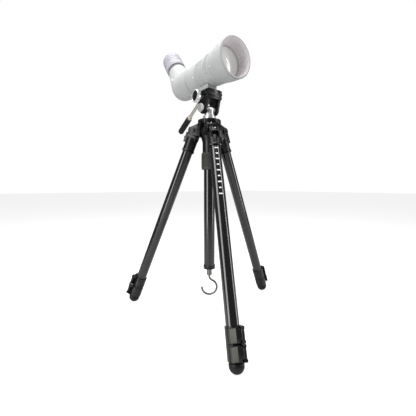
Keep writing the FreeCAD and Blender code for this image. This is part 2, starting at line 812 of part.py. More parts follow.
def make_lock_collar(name, leg, at, held_radius, passed_radius):
    """Lock collar: it grips the tube above and lets the thinner tube through."""
    top = -at
    bottom = top - S.lock_length
    step = top - S.tube_overlap
    passage = passed_radius + S.free_gap
    body = new_body(name, leg_frame(leg))
    revolve(body, [
        (passage, bottom), (LOCK_RADIUS, bottom), (LOCK_RADIUS, top),
        (held_radius, top), (held_radius, step), (passage, step)])
    pin_x, pin_y = lever_pin()
    ear = box_outline(pin_x - S.knuckle_radius + S.ear_relief, pin_x + S.knuckle_radius,
                      pin_y - S.knuckle_radius, S.ear_root - LOCK_RADIUS)
    for level in (bottom, top - S.ear_height):
        extrude(body, "XY_Plane", ear, S.ear_height, offset=level)
    clear_bore(body, held_radius, step, top)
    clear_bore(body, passage, bottom, step)
    extrude(body, "XY_Plane", (pin_x, pin_y, S.lever_pin_radius + S.run_gap),
            S.lock_length + 2 * CUT_PAST, offset=top + CUT_PAST, cut=True)
    keep(body)


def clear_bore(body, radius, low, high):
    """Open a bore again where something added to the body may reach into it."""
    sketch = new_sketch(body, "XY_Plane", high)
    draw_circle(sketch, ZERO, ZERO, radius)
    pocket = add_feature(body, "Pocket", sketch)
    pocket.setExpression("Length", (high - low).text)
    doc.recompute()


def lever_pin():
    """Place of a flip lever's pin beside its collar, in the leg's frame."""
    return LOCK_RADIUS - S.lever_pin_inset, -(LOCK_RADIUS + S.free_gap + S.lever_thick / 2)


def make_flip_lever(name, leg, at):
    """Flip lever: a knuckle with moulded trunnions, an arm and a finger plate."""
    pin_x, pin_y = lever_pin()
    top = -at
    arm_height = S.lock_length - 2 * S.ear_height - 2 * S.free_gap
    arm_bottom = top - S.ear_height - S.free_gap - arm_height
    plate_height = S.lock_length - 2 * S.lever_end_gap
    plate_bottom = top - S.lever_end_gap - plate_height
    inner = -(LOCK_RADIUS + S.free_gap)
    outer = inner - S.lever_thick
    far = -S.lever_width / 2
    plate_near = pin_x - S.lever_arm_length
    body = new_body(name, leg_frame(leg))
    extrude(body, "XY_Plane", (pin_x, pin_y, S.knuckle_radius), arm_height, offset=arm_bottom)
    extrude(body, "XY_Plane", box_outline(plate_near - SUNK, pin_x, outer, inner), arm_height,
            offset=arm_bottom)
    extrude(body, "XY_Plane", [
        (far, outer + S.lever_chamfer), (far + S.lever_chamfer, outer), (plate_near, outer),
        (plate_near, inner),
        (far, inner)], plate_height, offset=plate_bottom)
    extrude(body, "XY_Plane", (pin_x, pin_y, S.lever_pin_radius), plate_height,
            offset=plate_bottom)
    keep(body)


def make_foot(leg):
    """Rubber foot: a dome with a socket for the lowest tube."""
    rim = -S.foot_at
    seat = rim - S.tube_in_foot
    body = new_body(f"foot_{leg}", leg_frame(leg))
    revolve(body, [
        (ZERO, rim - FOOT_RADIUS, FOOT_RADIUS), (FOOT_RADIUS, rim),
        (FOOT_RADIUS, rim + S.foot_skirt), (LOWER_TUBE_RADIUS, rim + S.foot_skirt),
        (LOWER_TUBE_RADIUS, seat), (ZERO, seat)])
    keep(body)


def make_leg(leg):
    """All the pieces of one leg."""
    upper_top = S.sleeve_start + S.sleeve_floor
    middle_top = upper_top + S.tube_inset
    lower_top = middle_top + S.tube_inset
    make_leg_top(leg)
    make_angle_tab(leg)
    make_tube(f"upper_tube_{leg}", leg, UPPER_TUBE_RADIUS, UPPER_LOCK_AT + S.tube_overlap,
              upper_top)
    make_lock_collar(f"upper_collar_{leg}", leg, UPPER_LOCK_AT, UPPER_TUBE_RADIUS,
                     MIDDLE_TUBE_RADIUS)
    make_flip_lever(f"upper_lever_{leg}", leg, UPPER_LOCK_AT)
    make_tube(f"middle_tube_{leg}", leg, MIDDLE_TUBE_RADIUS,
              LOWER_LOCK_AT + S.tube_overlap, middle_top)
    make_lock_collar(f"lower_collar_{leg}", leg, LOWER_LOCK_AT, MIDDLE_TUBE_RADIUS,
                     LOWER_TUBE_RADIUS)
    make_flip_lever(f"lower_lever_{leg}", leg, LOWER_LOCK_AT)
    make_tube(f"lower_tube_{leg}", leg, LOWER_TUBE_RADIUS, S.foot_at + S.tube_in_foot,
              lower_top)
    make_foot(leg)


# ---------------------------------------------------------------- head


def across():
    """Frame on the tilt axis with +Z along +X."""
    return moved(standing(TILT_Z), axis=Vector(0, 1, 0), turn=90)


BASE_TOP = S.free_gap + S.base_height
NECK_BOTTOM = BASE_TOP + S.free_gap - S.tilt_axis_above


def make_pan_base():
    """Disc on the column's top, with a plug in the tube and the spigot's bore."""
    plug = S.column_radius - S.column_wall
    bore = S.spigot_radius + S.run_gap
    body = new_body("pan_base", standing(HUB_TOP))
    revolve(body, [
        (bore, -S.base_plug_depth), (plug, -S.base_plug_depth), (plug, S.free_gap),
        (BASE_RADIUS, S.free_gap), (BASE_RADIUS, BASE_TOP), (bore, BASE_TOP)])
    keep(body)


def make_tilt_tee():
    """Bright casting: spigot, neck and the tilt barrel across its top."""
    spigot_end = NECK_BOTTOM - S.free_gap - S.spigot_length
    neck_top = -S.tee_radius / 4
    body = new_body("tilt_tee", standing(TILT_Z))
    revolve(body, [
        (ZERO, spigot_end), (S.spigot_radius, spigot_end), (S.spigot_radius, NECK_BOTTOM),
        (S.neck_radius, NECK_BOTTOM), (S.neck_radius, neck_top), (ZERO, neck_top)])
    extrude(body, "YZ_Plane", (ZERO, ZERO, S.tee_radius), 2 * S.tee_half_length, both=True)
    extrude(body, "YZ_Plane", (ZERO, ZERO, S.tilt_bolt_radius + S.run_gap),
            3 * S.tee_half_length, cut=True, both=True)
    keep(body)


def make_tilt_platform():
    """Platform: a block with the plate's channel, and a cheek on each side of the tee."""
    half = CHEEK_OUTER
    mouth = CHANNEL_HALF_WIDTH - S.dovetail_slope
    shoulder = S.platform_half_length - S.cheek_shoulder
    root = S.platform_bottom + SUNK
    body = new_body("tilt_platform", standing(TILT_Z))
    extrude(body, "XZ_Plane", [
        (-half, S.platform_bottom), (half, S.platform_bottom), (half, PLATFORM_TOP),
        (mouth, PLATFORM_TOP), (CHANNEL_HALF_WIDTH, CHANNEL_FLOOR),
        (-CHANNEL_HALF_WIDTH, CHANNEL_FLOOR), (-mouth, PLATFORM_TOP),
        (-half, PLATFORM_TOP)], 2 * S.platform_half_length, both=True)
    for place in (CHEEK_INNER, -CHEEK_OUTER):
        extrude(body, "YZ_Plane", [
            (-S.cheek_end_radius, ZERO, S.cheek_end_radius),
            (ZERO, -S.cheek_end_radius, S.cheek_end_radius), (S.cheek_end_radius, ZERO),
            (shoulder, root), (-shoulder, root)], S.cheek_width, offset=place)
    extrude(body, "YZ_Plane", (ZERO, ZERO, S.tilt_bolt_radius), 3 * half, cut=True, both=True)
    extrude(body, "YZ_Plane", (S.clamp_offset, CLAMP_HEIGHT, S.clamp_stem_radius + S.run_gap),
            S.clamp_hole_depth, offset=-half, cut=True, flip=True)
    rod_hole = rod_tool("rod_hole", handle_frame(), S.rod_radius + S.run_gap, S.grip_start)
    keep(cut_away("tilt_platform", body, rod_hole))


def make_tilt_bolt():
    """Axle through both cheeks and the tee, headed on one side."""
    end = -(CHEEK_OUTER + S.bolt_in_knob)
    body = new_body("tilt_bolt", across())
    revolve(body, [
        (ZERO, end), (S.tilt_bolt_radius, end), (S.tilt_bolt_radius, CHEEK_OUTER),
        (S.bolt_head_radius, CHEEK_OUTER),
        (S.bolt_head_radius, CHEEK_OUTER + S.bolt_head_height),
        (ZERO, CHEEK_OUTER + S.bolt_head_height)])
    keep(body)


def make_friction_knob():
    """Bright lobed knob on the axle's threaded end."""
    face = -(CHEEK_OUTER + S.free_gap)
    back = face - S.friction_knob_length
    bore = S.tilt_bolt_radius + S.run_gap
    bore_end = -(CHEEK_OUTER + S.bolt_in_knob + S.free_gap)
    body = new_body("friction_knob", across())
    revolve(body, [
        (ZERO, back), (S.friction_knob_radius, back), (S.friction_knob_radius, face),
        (bore, face), (bore, bore_end), (ZERO, bore_end)])
    flute = extrude(
        body, "XY_Plane", (S.friction_knob_radius + S.flute_beyond, ZERO, S.flute_radius),
        S.friction_knob_length + 2 * CUT_PAST, offset=face + CUT_PAST, cut=True)
    repeat(body, [flute], S.flute_count)
    keep(body)


def clamp_frame():
    """Frame of the clamp knob's axis, +Z along +X."""
    frame = moved(standing(TILT_Z), y=S.clamp_offset, z=CLAMP_HEIGHT)
    return moved(frame, axis=Vector(0, 1, 0), turn=90)


def make_clamp_knob():
    """Knob that clamps the quick-release plate, on its stem."""
    stem_end = S.clamp_hole_depth - SUNK - CHEEK_OUTER
    shoulder = -(CHEEK_OUTER + S.clamp_stem_length)
    back = shoulder - S.clamp_length
    body = new_body("clamp_knob", clamp_frame())
    revolve(body, [
        (ZERO, back), (S.clamp_radius, back), (S.clamp_radius, shoulder),
        (S.clamp_stem_radius, shoulder), (S.clamp_stem_radius, stem_end), (ZERO, stem_end)])
    keep(body)


def handle_frame():
    """Frame of the handle: +Z out along the rod, from its seat in the platform."""
    frame = moved(standing(TILT_Z), x=-HANDLE_SIDE, y=S.handle_back - S.rod_seat,
                  z=HANDLE_HEIGHT)
    return moved(frame, axis=Vector(1, 0, 0), turn=-(90 + S.handle_droop.value))


def make_handle():
    """Bright rod with a stepped collar, and the dark grip over its end."""
    rod = new_body("handle_rod", handle_frame())
    collar = S.grip_start - S.rod_collar_length
    revolve(rod, [
        (ZERO, SUNK), (S.rod_radius, SUNK), (S.rod_radius, collar),
        (S.rod_radius + S.rod_collar_step, collar),
        (S.rod_radius + S.rod_collar_step, S.grip_start),
        (S.rod_radius, S.grip_start), (S.rod_radius, ROD_END),
        (ZERO, ROD_END)])
    keep(rod)
    end = S.grip_start + S.grip_length
    grip = new_body("handle_grip", handle_frame())
    revolve(grip, [
        (S.rod_radius, S.grip_start), (GRIP_RADIUS, S.grip_start),
        (GRIP_RADIUS, end - GRIP_RADIUS, GRIP_RADIUS), (ZERO, end),
        (ZERO, ROD_END), (S.rod_radius, ROD_END)])
    keep(grip)


def make_quick_plate():
    """Quick-release plate: a dovetail under a flange, with the screw's recess."""
    floor = CHANNEL_FLOOR + S.free_gap
    foot_half = CHANNEL_HALF_WIDTH - S.plate_side_gap
    mouth_half = foot_half - S.dovetail_slope
    flange = PLATFORM_TOP + S.free_gap
    wide = CHEEK_OUTER - S.plate_edge_inset
    body = new_body("quick_plate", standing(TILT_Z))
    extrude(body, "XZ_Plane", [
        (-foot_half, floor), (foot_half, floor), (mouth_half, PLATFORM_TOP),
        (mouth_half, flange), (wide, flange), (wide, PLATE_TOP), (-wide, PLATE_TOP),
        (-wide, flange), (-mouth_half, flange), (-mouth_half, PLATFORM_TOP)],
        2 * S.plate_half_length, both=True)
    extrude(body, "XY_Plane", (ZERO, ZERO, S.plate_screw_radius + S.free_gap),
            PLATE_TOP, offset=PLATE_TOP, cut=True)
    recess = S.screw_head_height + 2 * S.free_gap
    extrude(body, "XY_Plane", (ZERO, ZERO, S.screw_head_radius + S.free_gap), recess,
            offset=floor + recess, cut=True)
    keep(body)


def make_plate_screw():
    """Screw from under the plate up into the scope's foot."""
    head_bottom = CHANNEL_FLOOR + 2 * S.free_gap
    head_top = head_bottom + S.screw_head_height
    tip = PLATE_TOP + S.foot_height - S.screw_tip_gap
    body = new_body("plate_screw", standing(TILT_Z))
    revolve(body, [
        (ZERO, head_bottom), (S.screw_head_radius, head_bottom),
        (S.screw_head_radius, head_top), (S.plate_screw_radius, head_top),
        (S.plate_screw_radius, tip), (ZERO, tip)])
    keep(body)


# ---------------------------------------------------------------- scope


def make_scope_foot():
    """Saddle foot between the plate and the barrel, with the screw's blind hole."""
    half = S.foot_half_width
    body = new_body("scope_foot", standing(PLATE_TOP_Z))
    extrude(body, "XY_Plane", box_outline(-half, half, -S.foot_front, -S.foot_rear),
            S.foot_height + S.foot_cheek_rise)
    extrude(body, "XY_Plane", (ZERO, ZERO, S.plate_screw_radius + S.run_gap),
            S.foot_height - S.foot_roof, cut=True, flip=True)
    saddle = rod_tool("foot_saddle", moved(scope_frame(), z=S.foot_rear - CUT_PAST),
                      S.barrel_radius, S.foot_front - S.foot_rear + 2 * CUT_PAST)
    keep(cut_away("scope_foot", body, saddle))


def make_scope_barrel():
    """Main tube with a narrower seat for the focus ring."""
    shoulder = S.ring_rear - S.free_gap
    body = new_body("scope_barrel", scope_frame())
    revolve(body, [
        (BARREL_BORE, S.barrel_rear), (S.barrel_radius, S.barrel_rear),
        (S.barrel_radius, shoulder), (RING_SEAT_RADIUS, shoulder),
        (RING_SEAT_RADIUS, S.barrel_front), (BARREL_BORE, S.barrel_front)])
    keep(body)


def make_focus_ring():
    """Focus ring, wider towards the front."""
    bore = RING_SEAT_RADIUS + S.run_gap
    body = new_body("focus_ring", scope_frame())
    revolve(body, [
        (bore, S.ring_rear), (S.barrel_radius + S.ring_rear_rise, S.ring_rear),
        (S.barrel_radius + S.ring_front_rise, RING_FRONT), (bore, RING_FRONT)])
    keep(body)


def make_objective_bell():
    """Flared front casing: seat for the lens cell, and the shade in front of it."""
    rear = RING_FRONT + S.free_gap
    lip = S.bell_front - S.bell_lip
    cell_front = S.cell_rear + S.cell_length
    shade = CELL_RADIUS + S.shade_step
    behind = CELL_RADIUS - S.cell_shoulder
    body = new_body("objective_bell", scope_frame())
    revolve(body, [
        (RING_SEAT_RADIUS, rear), (S.barrel_radius + S.bell_rear_rise, rear),
        (BELL_FRONT_RADIUS - S.bell_taper, S.bell_mid), (BELL_FRONT_RADIUS, lip),
        (BELL_FRONT_RADIUS, S.bell_front), (BELL_BORE, S.bell_front), (BELL_BORE, lip),
        (shade, cell_front + S.shade_step_length), (shade, cell_front),
        (CELL_RADIUS, cell_front), (CELL_RADIUS, S.cell_rear), (behind, S.cell_rear),
        (RING_SEAT_RADIUS + S.bell_throat, S.barrel_front),
        (RING_SEAT_RADIUS, S.barrel_front)])
    keep(body)


def make_objective_cell():
    """Ring that holds the objective, with a shoulder behind the glass."""
    front = S.cell_rear + S.cell_length
    step = S.cell_rear + S.cell_lip
    body = new_body("objective_cell", scope_frame())
    revolve(body, [
        (S.lens_radius - S.cell_lip, S.cell_rear), (CELL_RADIUS, S.cell_rear),
        (CELL_RADIUS, front), (S.lens_radius, front), (S.lens_radius, step),
        (S.lens_radius - S.cell_lip, step)])
    keep(body)


def lens_sag():
    """Depth of the objective's curve over its half width."""
    depth = S.lens_curve.value - math.sqrt(S.lens_curve.value ** 2 - S.lens_radius.value ** 2)
    text = f"({S.lens_curve.text} - sqrt({S.lens_curve.text}^2 - {S.lens_radius.text}^2))"
    return Size(depth, text)


def make_objective_lenses():
    """Two lenses of the objective: a concave one, and a convex one in front of it."""
    sag = lens_sag()
    flint_rear = S.cell_rear + S.cell_lip
    flint_front = flint_rear + S.flint_edge
    crown_rear = flint_front + S.lens_gap
    crown_front = crown_rear + S.lens_edge
    body = new_body("objective_lenses", scope_frame())
    body.AllowCompound = True
    revolve(body, [
        (ZERO, flint_rear), (S.lens_radius, flint_rear),
        (S.lens_radius, flint_front, -S.lens_curve), (ZERO, flint_front - sag)])
    revolve(body, [
        (ZERO, crown_rear - sag, S.lens_curve), (S.lens_radius, crown_rear),
        (S.lens_radius, crown_front, S.lens_curve), (ZERO, crown_front + sag)])
    keep(body)


def make_focus_cell():
    """Sliding cell inside the barrel, with the focusing lens in it."""
    front = S.focus_cell_rear + S.focus_cell_length
    lens_rear = S.focus_cell_rear + S.focus_lens_start
    lens_bore = FOCUS_CELL_RADIUS - S.focus_cell_wall
    body = new_body("focus_cell", scope_frame())
    body.AllowCompound = True
    revolve(body, tube_outline(lens_bore, FOCUS_CELL_RADIUS, S.focus_cell_rear, front))
    revolve(body, tube_outline(ZERO, lens_bore - 2 * S.run_gap, lens_rear,
                               lens_rear + S.focus_lens_edge))
    keep(body)


def housing_tube(name, radius, front):
    """Solid of the housing's straight part, with its round rear end."""
    rear = S.housing_centre - radius
    body = new_body(name, scope_frame())
    revolve(body, [
        (ZERO, rear, radius), (radius, S.housing_centre),
        (radius, S.housing_centre + S.housing_straight),
        (radius - S.housing_front_step, front), (ZERO, front)])
    return body


def housing_cone(name, radius, tip_radius, length):
    """Solid of the housing's tapered part towards the eyepiece."""
    body = new_body(name, eye_frame())
    revolve(body, [(ZERO, ZERO), (radius, ZERO), (tip_radius, length), (ZERO, length)])
    return body


def make_prism_housing():
    """Bent rear casing: hollow, open to the barrel, with the eyepiece's bore in its tip."""
    wall = S.housing_wall
    outer = joined("housing_outside",
                   housing_tube("housing_outer_tube", HOUSING_RADIUS, S.barrel_rear),
                   housing_cone("housing_outer_cone", EYE_CONE_RADIUS,
                                EYE_CONE_TIP_RADIUS, S.eye_cone_length))
    inner = joined("housing_inside",
                   housing_tube("housing_inner_tube", HOUSING_RADIUS - wall,
                                S.barrel_rear + CUT_PAST),
                   housing_cone("housing_inner_cone", EYE_CONE_RADIUS - wall,
                                EYE_CONE_TIP_RADIUS - wall,
                                S.eye_cone_length - S.eye_cone_floor))
    bore = rod_tool("eyepiece_bore", eye_frame(), S.eye_barrel_radius,
                    S.eye_cone_length + CUT_PAST)
    hollow = joined("housing_hollow", inner, bore)
    keep(cut_away("prism_housing", outer, hollow))


def make_erecting_prism():
    """Prism that turns the light up into the eyepiece."""
    size = S.prism_size
    half = size / 2
    body = new_body("erecting_prism", moved(standing(SCOPE_Z), y=-S.housing_centre))
    extrude(body, "YZ_Plane", [
        (-half * 1.4, -half), (half / 3, -half), (half, half * 0.1), (half, half * 0.3),
        (half * 0.1, half * 1.1), (-half * 1.4, half)], 2 * S.prism_half_width, both=True)
    keep(body)


EYE_SEAT = S.eye_cone_length
EYE_NECK_TOP = EYE_SEAT + S.eye_neck_length
ZOOM_START = EYE_NECK_TOP + S.free_gap
ZOOM_END = ZOOM_START + S.zoom_length
CUP_START = ZOOM_END + S.free_gap
CUP_END = CUP_START + S.eyecup_length
EYE_BARREL_END = CUP_END - S.eyecup_rim - S.eye_relief


def make_eyepiece_barrel():
    """Inner tube of the eyepiece with the collar that seats it on the housing."""
    seat_rear = EYE_SEAT - S.eye_cone_floor
    neck_radius = S.eye_barrel_radius + S.eye_neck_rise
    body = new_body("eyepiece_barrel", eye_frame())
    revolve(body, [
        (EYE_BARREL_BORE, seat_rear), (S.eye_barrel_radius, seat_rear),
        (S.eye_barrel_radius, EYE_SEAT), (neck_radius, EYE_SEAT),
        (neck_radius, EYE_NECK_TOP), (S.eye_barrel_radius, EYE_NECK_TOP),
        (S.eye_barrel_radius, EYE_BARREL_END), (EYE_BARREL_BORE, EYE_BARREL_END)])
    keep(body)


def make_zoom_ring():
    """Ring that turns on the eyepiece barrel to change the magnification."""
    body = new_body("zoom_ring", eye_frame())
    revolve(body, tube_outline(S.eye_barrel_radius + S.run_gap,
                               S.eye_barrel_radius + S.zoom_rise, ZOOM_START, ZOOM_END))
    keep(body)


def make_eyecup():
    """Eyecup: it slides out along the barrel, with a rounded rim over its end."""
    rim = S.eyecup_rim
    bore = S.eye_barrel_radius + S.eyecup_gap
    outside = S.eye_barrel_radius + S.eyecup_rise
    opening = EYE_BARREL_BORE + S.eyecup_opening_gap
    lip = CUP_END - rim
    body = new_body("eyecup", eye_frame())
    revolve(body, [
        (bore, CUP_START), (outside, CUP_START), (outside, lip, rim),
        (outside - rim, CUP_END), (opening, CUP_END), (opening, lip), (bore, lip)])
    keep(body)


def make_eyepiece_lenses():
    """Three lenses of the eyepiece, from the field lens to the eye lens."""
    radius = EYE_BARREL_BORE
    edge = S.eye_lens_edge
    body = new_body("eyepiece_lenses", eye_frame())
    body.AllowCompound = True
    eye_lens = EYE_BARREL_END - S.eye_lens_inset - edge
    for start in (EYE_SEAT, EYE_SEAT + S.middle_lens_at, eye_lens):
        revolve(body, tube_outline(ZERO, radius, start, start + edge))
    keep(body)


# ---------------------------------------------------------------- build, check and write


def build():
    """Make every sub-part in order."""
    make_hub()
    make_hub_knob()
    make_pivot_bolts()
    make_column()
    make_column_collar()
    make_column_end_cap()
    make_load_hook()
    for leg in LEGS:
        make_leg(leg)
    make_pan_base()
    make_tilt_tee()
    make_tilt_platform()
    make_tilt_bolt()
    make_friction_knob()
    make_clamp_knob()
    make_handle()
    make_quick_plate()
    make_plate_screw()
    make_scope_foot()
    make_scope_barrel()
    make_focus_ring()
    make_objective_bell()
    make_objective_cell()
    make_objective_lenses()
    make_focus_cell()
    make_prism_housing()
    make_erecting_prism()
    make_eyepiece_barrel()
    make_zoom_ring()
    make_eyecup()
    make_eyepiece_lenses()
    doc.recompute()


def check_document():
    """Stop if an object failed or a sub-part's shape is missing or invalid."""
    for item in doc.Objects:
        if "Invalid" in item.State or "Error" in item.State:
            raise RuntimeError(f"{item.Label} did not recompute")
    for node in NODES:
        if node.Shape.isNull() or not node.Shape.isValid():
            raise RuntimeError(f"{node.Label} has no valid shape")


def write_parts():
    """Write each sub-part to parts/ under its own label."""
    os.makedirs("parts", exist_ok=True)
    for node in NODES:
        node.Shape.exportStep(f"parts/{node.Label}.step")
    print(f"{len(NODES)} sub-parts written")


build()
check_document()
write_parts()
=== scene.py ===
"""Looks of an angled spotting scope on a pan head and a folding tripod.

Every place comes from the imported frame: joint axes and node boxes.  Sizes inside
the classes are millimetres, and one factor turns them to metres.
"""
import json
import logging
import math
from dataclasses import dataclass
from enum import Enum
from typing import Optional, Sequence

import bmesh
import bpy
from mathutils import Matrix, Vector


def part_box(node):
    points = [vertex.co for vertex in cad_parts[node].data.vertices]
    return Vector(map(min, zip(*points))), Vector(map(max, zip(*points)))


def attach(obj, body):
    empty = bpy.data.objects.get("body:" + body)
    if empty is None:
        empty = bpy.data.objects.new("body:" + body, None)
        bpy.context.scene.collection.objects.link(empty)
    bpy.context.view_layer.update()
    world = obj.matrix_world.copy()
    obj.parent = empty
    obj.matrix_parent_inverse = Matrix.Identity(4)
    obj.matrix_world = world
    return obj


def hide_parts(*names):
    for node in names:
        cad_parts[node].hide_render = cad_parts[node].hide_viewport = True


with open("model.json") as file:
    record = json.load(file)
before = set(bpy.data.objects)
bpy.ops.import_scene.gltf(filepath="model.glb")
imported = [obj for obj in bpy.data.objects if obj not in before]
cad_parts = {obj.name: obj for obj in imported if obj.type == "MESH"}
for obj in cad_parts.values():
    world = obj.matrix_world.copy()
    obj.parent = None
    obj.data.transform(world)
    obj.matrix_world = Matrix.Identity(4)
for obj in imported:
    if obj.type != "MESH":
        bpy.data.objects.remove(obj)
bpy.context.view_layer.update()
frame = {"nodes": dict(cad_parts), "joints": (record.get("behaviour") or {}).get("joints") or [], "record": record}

MM = 0.001
ROUND = 64
LOG = logging.getLogger("scope")
Points = Sequence[tuple[float, float]]


# ---------------------------------------------------------------- colours and nodes


def linear_colour(code: str) -> tuple[float, float, float, float]:
    """Turn an sRGB hex colour to the linear values that shaders take.

    Args:
        code: Six hex digits after a hash, such as "#B9B9B9".

    Returns:
        Red, green, blue and an alpha of one.
    """
    values = [int(code[i:i + 2], 16) / 255.0 for i in (1, 3, 5)]
    curve = [v / 12.92 if v <= 0.04045 else ((v + 0.055) / 1.055) ** 2.4 for v in values]
    return (curve[0], curve[1], curve[2], 1.0)


def add_node(tree: bpy.types.NodeTree, kind: str, values: Optional[dict] = None,
             links: Optional[dict] = None, **settings: object) -> bpy.types.Node:
    """Add one node with its settings, its socket values and its incoming links.

    Args:
        tree: The material's node tree.
        kind: The node's type, without the leading "ShaderNode".
        values: Socket name or number to the constant set on it.
        links: Socket name or number to the output socket that feeds it.
        settings: Properties of the node itself.

    Returns:
        The new node.
    """
    node = tree.nodes.new("ShaderNode" + kind)
    for key, value in settings.items():
        setattr(node, key, value)
    for key, value in (values or {}).items():
        node.inputs[key].default_value = value
    for key, output in (links or {}).items():
        tree.links.new(output, node.inputs[key])
    return node


class Surface(Enum):
    """How a finish's surface was made, which sets the shape of its fine pattern."""

    MOULDED = "moulded"      # fine even grain from a spark-eroded mould
    ENAMEL = "enamel"        # gentle ripple of sprayed paint
    DRAWN = "drawn"          # long streaks along the piece from drawing and turning
    CAST = "cast"            # soft uneven grain of a die-cast skin
    CROSSHATCH = "crosshatch"  # woven-looking grip pattern
    POLISHED = "polished"    # nearly flat, from a lap or a tumbler


@dataclass(frozen=True)
class Finish:
    """One real material with its procedural surface.

    The pattern's scale comes from grain_mm, the size of its grain, and height_mm is
    the depth that the bump stands for.
    """

    name: str
    colour: str
    tint: str
    roughness: float
    metallic: float = 0.0
    ior: float = 1.5
    grain_mm: float = 0.8
    height_mm: float = 0.03
    surface: Surface = Surface.MOULDED
    coat: float = 0.0
    coat_roughness: float = 0.08
    sheen: float = 0.0
    glow: float = 0.0
    spread: float = 0.10
    streak: tuple[float, float, float] = (1.0, 1.0, 1.0)

    def pattern(self, tree: bpy.types.NodeTree) -> bpy.types.NodeSocket:
        """Add the nodes of the fine pattern and return its height output."""
        place = add_node(tree, "TexCoord").outputs["Object"]
        grain = 1.0 / (self.grain_mm * MM)
        if self.surface is Surface.DRAWN:
            mapping = add_node(tree, "Mapping", {"Scale": self.streak}, {"Vector": place})
            return add_node(tree, "TexNoise", {"Scale": grain, "Detail": 3.0},
                            {"Vector": mapping.outputs[0]}).outputs[0]
        if self.surface is Surface.CROSSHATCH:
            cells = add_node(tree, "TexVoronoi", {"Scale": grain}, {"Vector": place},
                             distance="CHEBYCHEV")
            return cells.outputs["Distance"]
        detail = {Surface.MOULDED: 4.0, Surface.CAST: 6.0}.get(self.surface, 1.5)
        return add_node(tree, "TexNoise", {"Scale": grain, "Detail": detail},
                        {"Vector": place}).outputs[0]

    def build(self) -> bpy.types.Material:
        """Make the Blender material.

        Returns:
            A material whose colour, roughness and bump follow patterns on Object
            coordinates.
        """
        material = bpy.data.materials.new(self.name)
        material.use_nodes = True
        tree = material.node_tree
        shader = tree.nodes["Principled BSDF"]
        place = add_node(tree, "TexCoord").outputs["Object"]
        height = self.pattern(tree)
        cloud = add_node(tree, "TexNoise", {"Scale": 22.0, "Detail": 5.0, "Roughness": 0.6},
                         {"Vector": place}).outputs[0]
        blend = add_node(tree, "MapRange", {"From Min": 0.3, "From Max": 0.7},
                         {"Value": cloud}).outputs[0]
        colour = add_node(tree, "Mix", {6: linear_colour(self.colour),
                                        7: linear_colour(self.tint)},
                          {0: blend}, data_type="RGBA")
        low = max(self.roughness - self.spread, 0.02)
        high = min(self.roughness + self.spread, 1.0)
        rough = add_node(tree, "MapRange", {"To Min": low, "To Max": high},
                         {"Value": cloud})
        bump = add_node(tree, "Bump", {"Strength": 0.6, "Distance": self.height_mm * MM},
                        {"Height": height})
        tree.links.new(colour.outputs[2], shader.inputs["Base Color"])
        tree.links.new(rough.outputs[0], shader.inputs["Roughness"])
        tree.links.new(bump.outputs[0], shader.inputs["Normal"])
        shader.inputs["Metallic"].default_value = self.metallic
        if self.metallic == 0.0:
            shader.inputs["IOR"].default_value = self.ior
        shader.inputs["Coat Weight"].default_value = self.coat
        shader.inputs["Coat Roughness"].default_value = self.coat_roughness
        shader.inputs["Sheen Weight"].default_value = self.sheen
        if self.glow:
            shader.inputs["Emission Color"].default_value = linear_colour(self.colour)
            shader.inputs["Emission Strength"].default_value = self.glow
        return material


@dataclass(frozen=True)
class CoatedGlass(Finish):
    """Lens glass with a faint anti-reflection coating, mostly opaque and pale."""

    transmission: float = 0.85

    def build(self) -> bpy.types.Material:
        """Make the glass from the same pattern, with transmission added."""
        material = super().build()
        shader = material.node_tree.nodes["Principled BSDF"]
        shader.inputs["Transmission Weight"].default_value = self.transmission
        return material


@dataclass(frozen=True)
class LitSheet(Finish):
    """Backlit white sheet that stays dim in the object's own reflections."""

    reflected: float = 0.06

    def build(self) -> bpy.types.Material:
        """Make the sheet's material, lit through only where it is seen directly."""
        material = super().build()
        tree = material.node_tree
        shader = tree.nodes["Principled BSDF"]
        shader.inputs["Emission Color"].default_value = linear_colour("#FFFFFF")
        seen = add_node(tree, "LightPath").outputs["Is Camera Ray"]
        glow = add_node(tree, "MapRange", {"To Min": self.reflected, "To Max": self.glow},
                        {"Value": seen}).outputs[0]
        tree.links.new(glow, shader.inputs["Emission Strength"])
        return material


